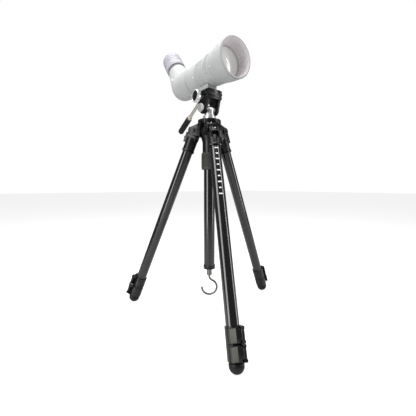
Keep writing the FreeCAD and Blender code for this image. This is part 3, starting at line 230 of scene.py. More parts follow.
class Library:
    """Every finish of the object, each built once."""

    # Soft moulded rubber skin: broad dull highlights, faint mottling, no hard glints.
    ARMOUR = Finish("armour_rubber_pale", "#B9BCBA", "#B1B4B3", 0.55, grain_mm=0.9,
                    height_mm=0.05, sheen=0.3, spread=0.08)
    # Bare rubber in a seam: darker and duller than the skin, so edges read as a line.
    ARMOUR_SHADE = Finish("armour_rubber_seam", "#8C8F8E", "#959897", 0.72, grain_mm=0.9)
    # Rubber of the eyepiece, moulded in a smoother die: paler, with a lilac cast.
    EYE_RUBBER = Finish("eyepiece_rubber_pale", "#A7A5AD", "#B1AFB7", 0.46, grain_mm=0.8,
                        height_mm=0.04, sheen=0.2)
    # Anodised neck under the zoom ring: a darker satin band.
    EYE_BAND = Finish("eyepiece_band_grey", "#77757D", "#828088", 0.5)
    # Sprayed matt paint inside the shade, with a warm cast. Its even pale colour is partly the paint's own look
    # and partly painted light: it is drawn paler than the paint to make up for light that does not reach inside.
    # Its glow is painted light too, since real paint has none; both lift the shade, which the studio lights leave
    # too dark.
    SHADE_PAINT = Finish("baffle_paint_grey", "#D0CBCD", "#D8D3D5", 0.6, grain_mm=0.6,
                         surface=Surface.ENAMEL, glow=0.11)
    # Anodised lining of the lens cells, drawn pale. The paleness is partly painted light, like the shade's paint,
    # and its faint glow is painted light that lifts the inside of the shade; the real lining has no glow.
    INNER = Finish("matt_anodised_cell", "#B0B0B0", "#BABABA", 0.7, grain_mm=0.5,
                   glow=0.15)
    # Polished coated glass: a clear glint over an even, pale tone. Its pale colour is partly painted light, and
    # its glow is painted light as well, only there to lift the inside of the shade.
    GLASS = CoatedGlass("coated_optical_glass", "#F2F2F0", "#ECECEA", 0.06, ior=1.52,
                        grain_mm=4.0, height_mm=0.002, surface=Surface.POLISHED,
                        spread=0.02, coat=0.4, transmission=0.10, glow=0.13)
    # Printed paint: flat, clean white.
    MARK = Finish("index_paint_white", "#F2F3F1", "#E9EAE8", 0.45, grain_mm=0.4,
                  height_mm=0.01, surface=Surface.ENAMEL)
    # Sprayed enamel on a cast skin: deep black with a soft, slightly wavy gloss.
    ENAMEL = Finish("black_enamel_on_die_cast", "#060608", "#0C0C0F", 0.34, ior=1.42,
                    grain_mm=1.2, height_mm=0.06, surface=Surface.CAST, coat=0.12)
    # Drawn tube, anodised and sealed: mirror-like streaks along its length.
    TUBE = Finish("gloss_black_anodised_tube", "#060607", "#0A0A0C", 0.17, grain_mm=0.5,
                  height_mm=0.006, surface=Surface.DRAWN, coat=1.0, coat_roughness=0.12,
                  spread=0.04, streak=(1.0, 1.0, 0.03))
    # Injection-moulded nylon with a spark-eroded grain: satin black.
    NYLON = Finish("black_moulded_nylon", "#08080A", "#0F0F12", 0.34, ior=1.46,
                   grain_mm=0.7, height_mm=0.04, coat=0.2)
    # Grip panel left rough from the mould: scattered grey, no gloss.
    # Its real grain of 0.3 mm is drawn at 1.1 mm so that it shows.
    NYLON_GRIP = Finish("grey_rough_nylon", "#6B6B63", "#504F49", 0.75, grain_mm=1.1,
                        height_mm=0.25, surface=Surface.CROSSHATCH)
    # Plain black rubber: soft grey bloom on its edges.
    RUBBER = Finish("black_moulded_rubber", "#09090A", "#111113", 0.5, ior=1.45,
                    grain_mm=0.7, height_mm=0.05)
    # Worn grey rubber of the twist collar: olive cast, no gloss.
    COLLAR_RUBBER = Finish("grey_ribbed_rubber", "#3E3E39", "#353531", 0.66, grain_mm=0.8,
                           height_mm=0.06)
    # Turned bar: warm bright metal with rings of fine tool marks.
    STEEL = Finish("bright_turned_steel", "#E4E0D2", "#D7D3C6", 0.3, metallic=1.0,
                   grain_mm=0.4, height_mm=0.006, surface=Surface.DRAWN,
                   streak=(1.0, 1.0, 0.1))
    # Wire bent cold and plated dull: darker than turned bar.
    WIRE = Finish("dull_plated_wire", "#8B8A84", "#7B7A74", 0.34, metallic=1.0,
                  grain_mm=0.5, height_mm=0.008, surface=Surface.DRAWN)
    # Bright plating over a tumbled part: white with soft reflections.
    CHROME = Finish("bright_plated_ring", "#F4F5F4", "#ECEDEC", 0.32, metallic=0.75,
                    grain_mm=0.6, height_mm=0.004, surface=Surface.POLISHED, spread=0.05)
    # Tumbled die casting: even, bright and satin.
    ALLOY = Finish("satin_die_cast_alloy", "#EDEEEF", "#E2E3E4", 0.34, metallic=0.8,
                   grain_mm=0.9, height_mm=0.02, surface=Surface.CAST)
    # Blackened screw head: a dark metal that still glints on its edge.
    BOLT = Finish("black_oxide_bolt", "#30302F", "#3C3C3A", 0.36, metallic=1.0,
                  grain_mm=0.5, height_mm=0.01, surface=Surface.CAST)
    # White studio floor, lit to white for the camera and dim in reflections.
    FLOOR = LitSheet("studio_floor_white", "#C4C4C4", "#C4C4C4", 0.9, grain_mm=4.0,
                     height_mm=0.0, surface=Surface.ENAMEL, glow=0.80)

    _built: dict[str, bpy.types.Material] = {}

    @classmethod
    def get(cls, finish: Finish) -> bpy.types.Material:
        """Return the material of a finish, building it the first time."""
        if finish.name not in cls._built:
            cls._built[finish.name] = finish.build()
        return cls._built[finish.name]


# ---------------------------------------------------------------- frames from the CAD


def axes_frame(origin: Vector, along: Vector, side: Vector) -> Matrix:
    """Frame with +Z along one direction and +X as near as it can be to another.

    Args:
        origin: The frame's origin in metres.
        along: Direction of +Z.
        side: Direction that +X leans to.

    Returns:
        A 4x4 matrix in metres.
    """
    z_axis = along.normalized()
    y_axis = z_axis.cross(side).normalized()
    x_axis = y_axis.cross(z_axis)
    matrix = Matrix((x_axis, y_axis, z_axis)).transposed().to_4x4()
    matrix.translation = origin
    return matrix


def joint(name: str) -> dict:
    """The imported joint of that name."""
    return next(item for item in frame["joints"] if item["name"] == name)


def joint_frame(name: str, side: Vector) -> Matrix:
    """Frame on a joint's axis, with +Z along it."""
    item = joint(name)
    return axes_frame(Vector(item["pos_m"]), Vector(item["axis"]), side)


# ---------------------------------------------------------------- mesh building


def arc_points(cx: float, cy: float, radius: float, start: float, end: float,
               steps: int = 6) -> list[tuple[float, float]]:
    """Points along an arc, from one angle to another in degrees."""
    return [(cx + radius * math.cos(math.radians(start + (end - start) * i / steps)),
             cy + radius * math.sin(math.radians(start + (end - start) * i / steps)))
            for i in range(steps + 1)]


class Shape:
    """A mesh in the making, in millimetres in its own frame."""

    def __init__(self) -> None:
        """Start empty."""
        self.bm = bmesh.new()
        self.steps = ROUND

    def turn(self, profile: Points, steps: int = ROUND, closed: bool = True) -> "Shape":
        """Spin a profile of (radius, height) points about Z.

        Args:
            profile: Points in order; they run anticlockwise where the loop is closed.
            steps: How many flats go round.
            closed: Whether the last point joins the first.

        Returns:
            This shape.
        """
        self.steps = steps
        verts = [self.bm.verts.new((r, 0.0, z)) for r, z in profile]
        edges = [self.bm.edges.new(pair) for pair in zip(verts, verts[1:])]
        if closed:
            edges.append(self.bm.edges.new((verts[-1], verts[0])))
        bmesh.ops.spin(self.bm, geom=verts + edges, cent=(0, 0, 0), axis=(0, 0, 1),
                       angle=math.tau, steps=steps, use_merge=True)
        bmesh.ops.remove_doubles(self.bm, verts=self.bm.verts, dist=1e-4)
        bmesh.ops.dissolve_degenerate(self.bm, dist=1e-5, edges=self.bm.edges)
        return self

    def block(self, low: Sequence[float], high: Sequence[float]) -> None:
        """Add a box between two corners."""
        size = Vector(high) - Vector(low)
        middle = (Vector(high) + Vector(low)) / 2
        matrix = Matrix.Translation(middle) @ Matrix.Diagonal((*size, 1.0))
        bmesh.ops.create_cube(self.bm, size=1.0, matrix=matrix)

    def disc(self, matrix: Matrix, radius: float, depth: float, steps: int = 32,
             top: Optional[float] = None) -> None:
        """Add a cylinder or cone centred on a matrix, along its Z."""
        bmesh.ops.create_cone(
            self.bm, cap_ends=True, segments=steps, radius1=radius,
            radius2=radius if top is None else top, depth=depth, matrix=matrix)

    def ribs(self, low: float, high: float, depth: float, inset: float,
             every: int = 2) -> "Shape":
        """Raise every nth outward flat of a turned shape into a rib.

        Args:
            low: Height where the ribbed part starts.
            high: Height where it ends.
            depth: How far a rib stands out.
            inset: How much narrower a rib is than its flat, on each side.
            every: One flat in this many becomes a rib.

        Returns:
            This shape.
        """
        bmesh.ops.recalc_face_normals(self.bm, faces=self.bm.faces)
        chosen = []
        for face in self.bm.faces:
            spot = face.calc_center_median()
            outward = face.normal.dot(Vector((spot.x, spot.y, 0.0)).normalized())
            flat = int((math.atan2(spot.y, spot.x) % math.tau) / math.tau * self.steps)
            if low < spot.z < high and outward > 0.5 and flat % every == 0:
                chosen.append(face)
        bmesh.ops.inset_individual(self.bm, faces=chosen, thickness=inset, depth=depth,
                                   use_even_offset=True)
        return self

    def soften(self, width: float, angle: float = 28.0, segments: int = 2) -> "Shape":
        """Bevel every edge sharper than an angle in degrees."""
        self.bm.normal_update()
        limit = math.radians(angle)
        sharp = [e for e in self.bm.edges if len(e.link_faces) == 2
                 and e.calc_face_angle(0.0) > limit]
        bmesh.ops.bevel(self.bm, geom=sharp, offset=width, offset_type="OFFSET",
                        segments=segments, profile=0.5, affect="EDGES", material=-1,
                        clamp_overlap=True)
        return self

    def piece(self, name: str, place: Matrix, finish: Finish, body: str,
              replaces: Sequence[str] = (), slot: str = "", crease: float = 35.0,
              ) -> bpy.types.Object:
        """Finish the mesh as an object of the scene that rides on a body.

        Args:
            name: The piece's name.
            place: Its frame in metres; the mesh is moved there.
            finish: What it is made of.
            body: The CAD body that carries it.
            replaces: CAD nodes that it stands for.
            slot: The record's material slot, where it has one; not used.
            crease: Edges sharper than this many degrees stay sharp.

        Returns:
            The new object.
        """
        bmesh.ops.recalc_face_normals(self.bm, faces=self.bm.faces)
        bmesh.ops.transform(self.bm, matrix=place @ Matrix.Scale(MM, 4),
                            verts=self.bm.verts)
        mesh = bpy.data.meshes.new(name)
        self.bm.to_mesh(mesh)
        self.bm.free()
        mesh.shade_smooth()
        mesh.set_sharp_from_angle(angle=math.radians(crease))
        mesh.materials.append(Library.get(finish))
        obj = bpy.data.objects.new(name, mesh)
        bpy.context.scene.collection.objects.link(obj)
        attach(obj, body)
        if replaces:
            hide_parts(*replaces)
        LOG.info("%s: %d faces on %s", name, len(mesh.polygons), body)
        return obj


# ---------------------------------------------------------------- carried-over castings


@dataclass(frozen=True)
class Casting:
    """A CAD node whose shape is right: its edges are rounded and it gets a finish.

    The copy is welded and its flat faces are joined before its edges are bevelled.
    """

    node: str
    body: str
    slot: str
    finish: Finish
    edge_mm: float = 0.6
    segments: int = 2
    sharp: float = 32.0

    def build(self) -> bpy.types.Object:
        """Make the rounded copy, which stands for the node.

        Returns:
            The new piece.
        """
        shape = Shape()
        shape.bm.from_mesh(frame["nodes"][self.node].data)
        bmesh.ops.remove_doubles(shape.bm, verts=shape.bm.verts, dist=2e-6)
        bmesh.ops.scale(shape.bm, vec=Vector((1000, 1000, 1000)), verts=shape.bm.verts)
        bmesh.ops.dissolve_limit(shape.bm, angle_limit=math.radians(1.0),
                                 verts=shape.bm.verts, edges=shape.bm.edges,
                                 delimit={"NORMAL"})
        if self.edge_mm:
            shape.soften(self.edge_mm, self.sharp, self.segments)
        return shape.piece(self.node + "_finished", Matrix.Identity(4), self.finish,
                           self.body, [self.node], self.slot)


# ---------------------------------------------------------------- scope


@dataclass
class ScopeBody:
    """Armoured scope body: bell, focus ring, barrel, bent prism housing and lenses."""

    barrel_radius: float = 34.4
    barrel_rear: float = -62.0
    barrel_front: float = 47.0
    ring_rear: float = 14.0
    ring_front: float = 41.6
    bell_front: float = 99.0
    bell_radius: float = 44.5
    bell_bore: float = 41.8
    rib_rear: float = -21.0
    housing_centre: float = -118.0
    housing_radius: float = 37.0

    def __post_init__(self) -> None:
        """Take the optical axis and the eyepiece axis from the joints."""
        right = Vector((1, 0, 0))
        self.place = joint_frame("focus_turn", right)
        eye = joint("zoom_turn")
        axis, spot = Vector(eye["axis"]), Vector(eye["pos_m"])
        self.eye_start = spot - axis * ((spot.z - self.place.translation.z) / axis.z)
        self.eye_place = axes_frame(self.eye_start, axis, right)

    def bell(self) -> None:
        """Flared bell with its seam, its rolled rim and the stepped shade inside."""
        rear = self.ring_front + 0.35
        outside = [(32.0, rear), (37.6, rear), (38.6, rear + 0.8), (39.0, rear + 2.2),
                   (39.1, rear + 4.0), (38.6, rear + 4.4), (38.6, rear + 5.2),
                   (39.3, rear + 5.6), (40.2, 54.0), (41.4, 61.0), (42.5, 68.0),
                   (43.3, 75.0), (43.9, 82.0), (44.2, 90.0), (44.2, 94.2), (43.9, 94.6),
                   (43.9, 95.4), (self.bell_radius, 95.8)]
        rim = arc_points(43.3, 97.8, 1.2, 0, 90)
        inside = [(self.bell_bore, self.bell_front), (self.bell_bore, 91.0), (39.2, 71.0),
                  (39.2, 69.0), (37.0, 69.0), (37.0, 56.0), (34.5, 56.0),
                  (33.0, self.barrel_front), (32.0, self.barrel_front)]
        Shape().turn(outside + rim + inside, 96).piece(
            "bell_armour", self.place, Library.ARMOUR, "scope", ["objective_bell"],
            "scope_shell")
        Shape().turn([(41.75, 98.6), (41.75, 92.0)] + self.baffles() + [(41.0, 98.9)],
                     96).piece("bell_baffles", self.place, Library.SHADE_PAINT, "scope",
                               slot="scope_shell", crease=25)
        ring = arc_points(44.0, 96.7, 1.0, -90, 90) + [(42.6, 98.9), (42.6, 95.7)]
        Shape().turn([(r - 0.1, z + 0.05) for r, z in ring], 96).piece(
            "bell_rim_band", self.place, Library.ARMOUR_SHADE, "scope", slot="scope_rubber")

    def baffles(self) -> list[tuple[float, float]]:
        """Steps down the inside of the shade, from the rim to the lens ring."""
        points = []
        for i in range(6):
            top = 90.5 - 3.4 * i
            radius = 41.0 - 0.5 * i
            points += [(radius, top), (radius, top - 1.0), (radius - 1.5, top - 1.2),
                       (radius - 1.5, top - 2.2)]
        points += [(36.6, 70.2), (36.6, 69.6)]
        points += [(35.6, 69.6), (35.6, 70.6)]
        return points + [(r - 1.2, z + 0.6) for r, z in reversed(points[:-4])]

    def seam(self) -> None:
        """Bare rubber line where the bell's armour meets the focus ring's."""
        rear = self.ring_front + 0.4
        Shape().turn([(38.2, rear + 3.9), (38.9, rear + 3.9), (38.9, rear + 5.3),
                      (38.2, rear + 5.3)], 96).piece(
                          "bell_seam", self.place, Library.ARMOUR_SHADE, "scope",
                          slot="scope_rubber")

    def focus_grip(self) -> None:
        """Focus ring with long ribs and a smooth band at each end."""
        rear, front = self.ring_rear, self.ring_front
        profile = [(32.05, rear), (35.4, rear), (36.2, 14.7), (36.5, 17.0), (36.2, 17.6),
                   (36.6, 21.0), (37.2, 36.4), (37.0, 37.0), (37.8, 37.6), (38.0, 40.6),
                   (37.4, front), (32.05, front)]
        shape = Shape().turn(profile, 96)
        shape.ribs(21.5, 36.0, 0.8, 0.35)
        shape.piece("focus_grip", self.place, Library.ARMOUR, "focus", ["focus_ring"],
                    "scope_rubber")

    def barrel(self) -> None:
        """Barrel with grip ribs ahead of its smooth rear."""
        radius, rear, front = self.barrel_radius, self.barrel_rear, self.barrel_front
        profile = [(29.4, rear), (33.4, rear), (34.2, -61.2), (radius, -59.5),
                   (radius, self.rib_rear), (radius - 0.7, self.rib_rear + 0.8),
                   (radius - 0.7, 10.0), (radius, 10.8), (radius, 12.8), (33.6, 13.65),
                   (32.0, 13.65), (32.0, front), (29.4, front)]
        shape = Shape().turn(profile, 96)
        shape.ribs(self.rib_rear + 1, 9.8, 0.7, 0.35)
        shape.piece("barrel_armour", self.place, Library.ARMOUR, "scope",
                    ["scope_barrel"], "scope_shell")

    def housing(self) -> None:
        """Bent prism housing: two turned solids welded and blended at the knee."""
        radius, centre_at = self.housing_radius, self.housing_centre
        shape = Shape()
        shape.turn([(0, -62.3), (35.2, -62.3), (36.4, -64.5), (radius, -78.0),
                    (radius, centre_at)]
                   + arc_points(0, centre_at, radius, 0, -90, 14)[1:], closed=False)
        bmesh.ops.recalc_face_normals(shape.bm, faces=shape.bm.faces)
        cone = Shape().turn([(0, 0), (36.0, 0), (35.2, 12.0), (30.6, 40.0), (27.7, 62.0),
                             (27.1, 64.6), (25.9, 65.9), (0, 65.9)], closed=False)
        bmesh.ops.recalc_face_normals(cone.bm, faces=cone.bm.faces)
        turn = self.place.inverted() @ self.eye_place
        turn.translation *= 1000.0
        bmesh.ops.transform(cone.bm, matrix=turn, verts=cone.bm.verts)
        mesh = bpy.data.meshes.new("cone_source")
        cone.bm.to_mesh(mesh)
        cone.bm.free()
        shape.bm.from_mesh(mesh)
        welded = self.weld(shape)
        for _ in range(10):
            bmesh.ops.smooth_vert(welded.bm, verts=welded.bm.verts, factor=0.5,
                                  use_axis_x=True, use_axis_y=True, use_axis_z=True)
        welded.piece("prism_armour", self.place, Library.ARMOUR, "scope",
                     ["prism_housing"], "scope_shell", crease=60)

    def weld(self, shape: Shape) -> Shape:
        """Merge crossing solids to one even skin with a voxel remesh."""
        mesh = bpy.data.meshes.new("housing_source")
        shape.bm.to_mesh(mesh)
        shape.bm.free()
        source = bpy.data.objects.new("housing_source", mesh)
        bpy.context.scene.collection.objects.link(source)
        remesh = source.modifiers.new("weld", "REMESH")
        remesh.mode = "VOXEL"
        remesh.voxel_size = 1.6
        bpy.context.view_layer.update()
        done = source.evaluated_get(bpy.context.evaluated_depsgraph_get())
        welded = Shape()
        welded.bm.from_mesh(done.data)
        bpy.data.objects.remove(source)
        return welded

    def marks(self) -> None:
        """Small fixing caps and index marks on the body's side, all plain shapes."""
        for name, along, height, radius in (("body_cap", -26.0, -10.0, 2.0),
                                            ("seam_dot", 50.5, -12.0, 1.5)):
            reach = 34.4 if along < 0 else 40.2
            across = math.sqrt(max(reach * reach - height * height, 1.0))
            spot = Matrix.Translation(Vector((-across - 0.1, height, along)))
            shape = Shape()
            shape.disc(spot @ Matrix.Rotation(math.radians(-90), 4, "Y"), radius, 0.8, 24,
                       radius * 0.8)
            shape.piece(name, self.place, Library.MARK, "scope", slot="scope_shell")
        shape = Shape()
        for start, length in ((15.0, 6.0), (24.0, 2.0)):
            shape.block((-36.4, -1.0, start), (-33.0, 1.0, start + length))
        shape.soften(0.3, 30, 1)
        shape.piece("knee_marks", self.eye_place, Library.MARK, "scope",
                    slot="scope_shell")

    def build(self) -> None:
        """Make every piece of the scope's body."""
        self.bell()
        self.seam()
        self.focus_grip()
        self.barrel()
        self.housing()
        self.marks()


@dataclass
class Eyepiece:
    """Eyepiece: neck, zoom ring and the eyecup with its folded rubber."""

    place: Matrix
    neck_start: float = 66.0
    zoom_start: float = 73.95
    zoom_end: float = 100.95
    cup_start: float = 101.3
    cup_end: float = 126.3
    barrel_radius: float = 20.0
    barrel_bore: float = 16.5
    barrel_end: float = 116.0

    def neck(self) -> None:
        """Inner tube with the narrow neck that shows as a dark groove."""
        top = self.zoom_start - 0.35
        start = self.neck_start
        Shape().turn([
            (self.barrel_bore, start - 6), (self.barrel_radius, start - 6),
            (self.barrel_radius, start + 0.1), (25.0, start + 0.1), (25.4, start + 1.0),
            (24.6, start + 1.6), (24.6, top - 1.6), (25.4, top - 1.0), (25.0, top),
            (self.barrel_radius, top), (self.barrel_radius, self.barrel_end),
            (self.barrel_bore, self.barrel_end)], 64).piece(
                "eye_neck", self.place, Library.EYE_BAND, "scope", ["eyepiece_barrel"],
                "inner_black")

    def zoom(self) -> None:
        """Zoom ring with bands and shallow ribs."""
        low, high = self.zoom_start, self.zoom_end
        profile = [(20.05, low), (27.2, low), (28.0, low + 0.8), (28.2, low + 4.0),
                   (27.5, low + 4.5), (27.5, low + 5.3), (28.0, low + 5.8),
                   (28.0, high - 8.0), (27.5, high - 7.5), (27.5, high - 6.7),
                   (28.2, high - 6.2), (28.3, high - 1.0), (27.6, high), (20.05, high)]
        shape = Shape().turn(profile, 80)
        shape.ribs(low + 6.2, high - 8.4, 0.3, 0.35)
        shape.piece("zoom_grip", self.place, Library.EYE_RUBBER, "zoom", ["zoom_ring"],
                    "scope_rubber")

    def cup(self) -> None:
        """Eyecup with two folds and a rolled rim."""
        low, high = self.cup_start, self.cup_end
        profile = [(20.3, low), (27.0, low), (28.0, low + 0.9), (28.0, low + 6.0),
                   (27.1, low + 6.7), (27.1, low + 7.5), (27.9, low + 8.2),
                   (27.8, low + 14.0), (27.0, low + 14.7), (27.0, low + 15.4),
                   (27.5, low + 16.0), (27.4, high - 5.0)]
        profile += arc_points(22.4, high - 5.0, 5.0, 8, 90, 8)
        profile += [(19.2, high - 0.1), (17.9, high - 0.7), (17.5, high - 1.8),
                    (17.5, high - 5.0), (20.3, high - 5.0)]
        Shape().turn(profile, 80).piece("eyecup_rubber", self.place, Library.EYE_RUBBER,
                                        "cup", ["eyecup"], "scope_rubber")

    def build(self) -> None:
        """Make every piece of the eyepiece."""
        self.neck()
        self.zoom()
        self.cup()


# ---------------------------------------------------------------- head


@dataclass
class PanHead:
    """Pan head: platform slabs, knobs, handle and the bright tilting tee."""

    half_width: float = 21.0
    half_length: float = 23.0
    slab_reach: float = 1.4
    clamp_shoulder: float = -31.0
    clamp_radius: float = 15.5
    friction_face: float = -21.35
    grip_start: float = 70.0
    grip_end: float = 128.0

    def __post_init__(self) -> None:
        """Take the tilt axis and the handle's axis from the joints."""
        spot = Vector(joint("tilt")["pos_m"])
        self.place = Matrix.Translation(spot)
        right = Vector((0, 0, 1))
        self.clamp_place = joint_frame("clamp_turn", right)
        self.friction_place = joint_frame("friction_turn", right)
        self.handle_place = joint_frame("handle_twist", Vector((1, 0, 0)))

    def slabs(self) -> None:
        """Raised rails round the platform that read as stacked slabs."""
        wide, long, reach = self.half_width, self.half_length, self.slab_reach
        for name, low, high, out in (("platform_rail_low", 22.4, 26.2, 0.8),
                                     ("platform_rail_mid", 30.4, 35.4, reach),
                                     ("platform_rail_high", 37.2, 41.4, 0.9)):
            shape = Shape()
            for side in (1, -1):
                inner, outer = sorted((side * (wide - 1.2), side * (wide + out)))
                shape.block((inner, -long - out, low), (outer, long + out, high))
            shape.soften(0.55, 30, 2)
            shape.piece(name, self.place, Library.ENAMEL, "platform", slot="cast_black")
        shape = Shape()
        shape.block((-wide + 0.6, -long - self.slab_reach, 24.6),
                    (wide - 0.6, -long + 1.0, 31.0))
        shape.block((-wide + 0.6, long - 1.0, 24.6),
                    (wide - 0.6, long + self.slab_reach, 31.0))
        shape.soften(0.7, 30, 2)
        shape.piece("platform_ends", self.place, Library.ENAMEL, "platform",
                    slot="cast_black")

    def plate_pad(self) -> None:
        """Rubber pad strips on the quick plate's flange edges."""
        shape = Shape()
        for side in (1, -1):
            inner, outer = sorted((side * 14.6, side * 18.6))
            shape.block((inner, -20.4, 43.2), (outer, 20.4, 44.3))
        shape.soften(0.25, 30, 1)
        shape.piece("plate_pads", self.place, Library.RUBBER, "scope", slot="cast_black")

    def clamp_knob(self) -> None:
        """Plate clamp: a broad plated ring with a ribbed side and a black centre."""
        shoulder, radius = self.clamp_shoulder, self.clamp_radius
        back = shoulder - 11.0
        profile = [(4.0, shoulder), (12.6, shoulder), (14.6, shoulder - 0.8),
                   (radius - 0.5, shoulder - 2.2), (radius - 0.5, back + 3.0),
                   (radius - 0.7, back + 1.0), (radius - 1.6, back), (12.4, back),
                   (11.8, back + 0.7), (11.8, back + 2.4), (0, back + 2.4), (0, -11.5),
                   (4.0, -11.5)]
        shape = Shape().turn(profile, 72)
        shape.ribs(back + 3.0, shoulder - 2.2, 0.45, 0.3)
        shape.piece("clamp_ring", self.clamp_place, Library.CHROME, "clamp",
                    ["clamp_knob"], "cast_bright")
        Shape().turn([(0, back + 0.3), (7.0, back + 0.4), (10.6, back + 0.8),
                      (11.7, back + 1.6), (11.7, back + 2.6), (0, back + 2.6)], 64).piece(
                          "clamp_insert", self.clamp_place, Library.NYLON, "clamp",
                          slot="knob_black")

    def friction_knob(self) -> None:
        """Thin plain disc on a short boss."""
        face = self.friction_face
        back = face - 8.0
        Shape().turn([
            (3.05, face), (7.0, face), (7.4, face - 0.6), (7.4, face - 2.6),
            (9.8, face - 3.0), (10.5, face - 3.8), (10.5, back + 1.2), (10.0, back + 0.4),
            (9.0, back), (4.2, back + 0.25), (0, back + 0.3), (0, face - 6.35),
            (3.05, face - 6.35)], 64).piece(
                "friction_disc", self.friction_place, Library.CHROME, "friction",
                ["friction_knob"], "cast_bright")

    def handle(self) -> None:
        """Dark grip with long ribs, a collar and a rounded end, on the bright rod."""
        start, end = self.grip_start, self.grip_end
        profile = [(4.0, start), (6.6, start), (7.8, start + 0.8), (8.0, start + 2.4),
                   (7.7, start + 4.0), (7.3, start + 4.8), (7.4, start + 6.0),
                   (7.4, end - 14.0), (7.6, end - 12.6), (8.0, end - 11.6),
                   (8.0, end - 8.0)]
        profile += arc_points(0, end - 8.0, 8.0, 0, 90, 10)[1:]
        profile += [(0, start + 36.0), (4.0, start + 36.0)]
        shape = Shape().turn(profile, 40)
        shape.ribs(start + 6.2, end - 14.2, 0.45, 0.3)
        shape.piece("grip_rubber", self.handle_place, Library.RUBBER, "handle",
                    ["handle_grip"], "rubber_black")

    def tee_trim(self) -> None:
        """Bright rings round the two ends of the tilt barrel."""
        shape = Shape()
        for x in (-10.5, 10.5):
            shape.disc(Matrix.Translation(Vector((x, 0, 0)))
                       @ Matrix.Rotation(math.radians(90), 4, "Y"), 8.35, 1.6, 48)
        shape.soften(0.3, 30, 2)
        shape.piece("tee_rings", self.place, Library.ALLOY, "pan", slot="cast_bright")

    def build(self) -> None:
        """Make every piece of the head."""
        for node, body, slot, finish, edge in (
                ("tilt_platform", "platform", "cast_black", Library.ENAMEL, 0.7),
                ("tilt_tee", "pan", "cast_bright", Library.ALLOY, 0.5),
                ("pan_base", "column", "cast_bright", Library.ALLOY, 0.4),
                ("tilt_bolt", "platform", "steel_bright", Library.STEEL, 0.6),
                ("quick_plate", "scope", "cast_black", Library.NYLON, 0.4),
                ("scope_foot", "scope", "scope_shell", Library.ARMOUR, 3.0)):
            Casting(node, body, slot, finish, edge).build()
        self.slabs()
        self.plate_pad()
        self.clamp_knob()
        self.friction_knob()
        self.handle()
        self.tee_trim()


# ---------------------------------------------------------------- stand


@dataclass
class Shoulder:
    """Hub: bevelled casting, flange lobes, clamp knob and the column's pieces."""

    flange_top: float = 24.6
    lobe_radius: float = 6.6
    lobe_at: float = 23.2

    def __post_init__(self) -> None:
        """Stand the shoulder's frame on the column, level with the leg pivots."""
        pivot = joint("leg_spread_1")
        column = Vector(joint("pan_turn")["pos_m"])
        spot = Vector(pivot["pos_m"])
        out = Vector((spot.x - column.x, spot.y - column.y, 0))
        self.place = axes_frame(Vector((column.x, column.y, spot.z)), Vector((0, 0, 1)),
                                -out)
        self.collar_place = axes_frame(Vector(joint("collar_twist")["pos_m"]),
                                       Vector((0, 0, 1)), Vector((1, 0, 0)))
        self.knob_place = joint_frame("hub_knob_turn", Vector((0, 0, 1)))

    def lobes(self) -> None:
        """Round screw bosses that stand out under the flange between the legs."""
        shape = Shape()
        for i in range(3):
            angle = math.radians(60 + 120 * i)
            for turn in (-0.42, 0.42):
                x = -self.lobe_at * math.cos(angle + turn)
                y = -self.lobe_at * math.sin(angle + turn)
                shape.disc(Matrix.Translation(Vector((x, y, self.flange_top - 7.0))),
                           self.lobe_radius, 12.0, 32)
        shape.soften(0.8, 30, 2)
        shape.piece("flange_lobes", self.place, Library.ENAMEL, "stand",
                    slot="cast_black")

    def collar(self) -> None:
        """Twist collar of ribbed rubber with rounded ends."""
        low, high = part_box("column_collar")
        base = Vector(joint("collar_twist")["pos_m"]).z
        bottom, top = (low.z - base) * 1000, (high.z - base) * 1000
        step = top - 22.35
        profile = [(14.35, bottom), (17.6, bottom), (19.2, bottom + 0.8),
                   (19.9, bottom + 2.6), (19.9, bottom + 4.6), (19.6, bottom + 5.2),
                   (19.6, top - 5.4), (19.9, top - 4.8), (20.1, top - 2.2),
                   (19.4, top - 0.6), (18.6, top), (17.75, top), (17.75, step),
                   (14.35, step)]
        shape = Shape().turn(profile, 96)
        shape.ribs(bottom + 5.4, top - 5.6, 0.75, 0.25)
        shape.piece("collar_grip", self.collar_place, Library.COLLAR_RUBBER, "collar",
                    ["column_collar"], "rubber_grey")

    def knob(self) -> None:
        """Column clamp knob, ribbed."""
        profile = [(0, 14.35), (2.5, 14.35), (2.5, 24.35), (4.6, 24.35), (5.2, 25.2),
                   (5.2, 35.0), (4.8, 36.0), (3.8, 36.35), (0, 36.2)]
        shape = Shape().turn(profile, 36, closed=False)
        shape.ribs(25.4, 34.8, 0.3, 0.2)
        shape.piece("hub_knob_grip", self.knob_place, Library.NYLON, "hub_knob",
                    ["hub_knob"], "plastic_black")

    def build(self) -> None:
        """Make every piece of the shoulder and the column."""
        Casting("hub", "stand", "cast_black", Library.ENAMEL, 0.8).build()
        Casting("pivot_bolts", "stand", "steel_bright", Library.BOLT, 0.5).build()
        Casting("column_end_cap", "column", "plastic_black", Library.NYLON, 0.8).build()
        self.lobes()
        self.collar()
        self.knob()


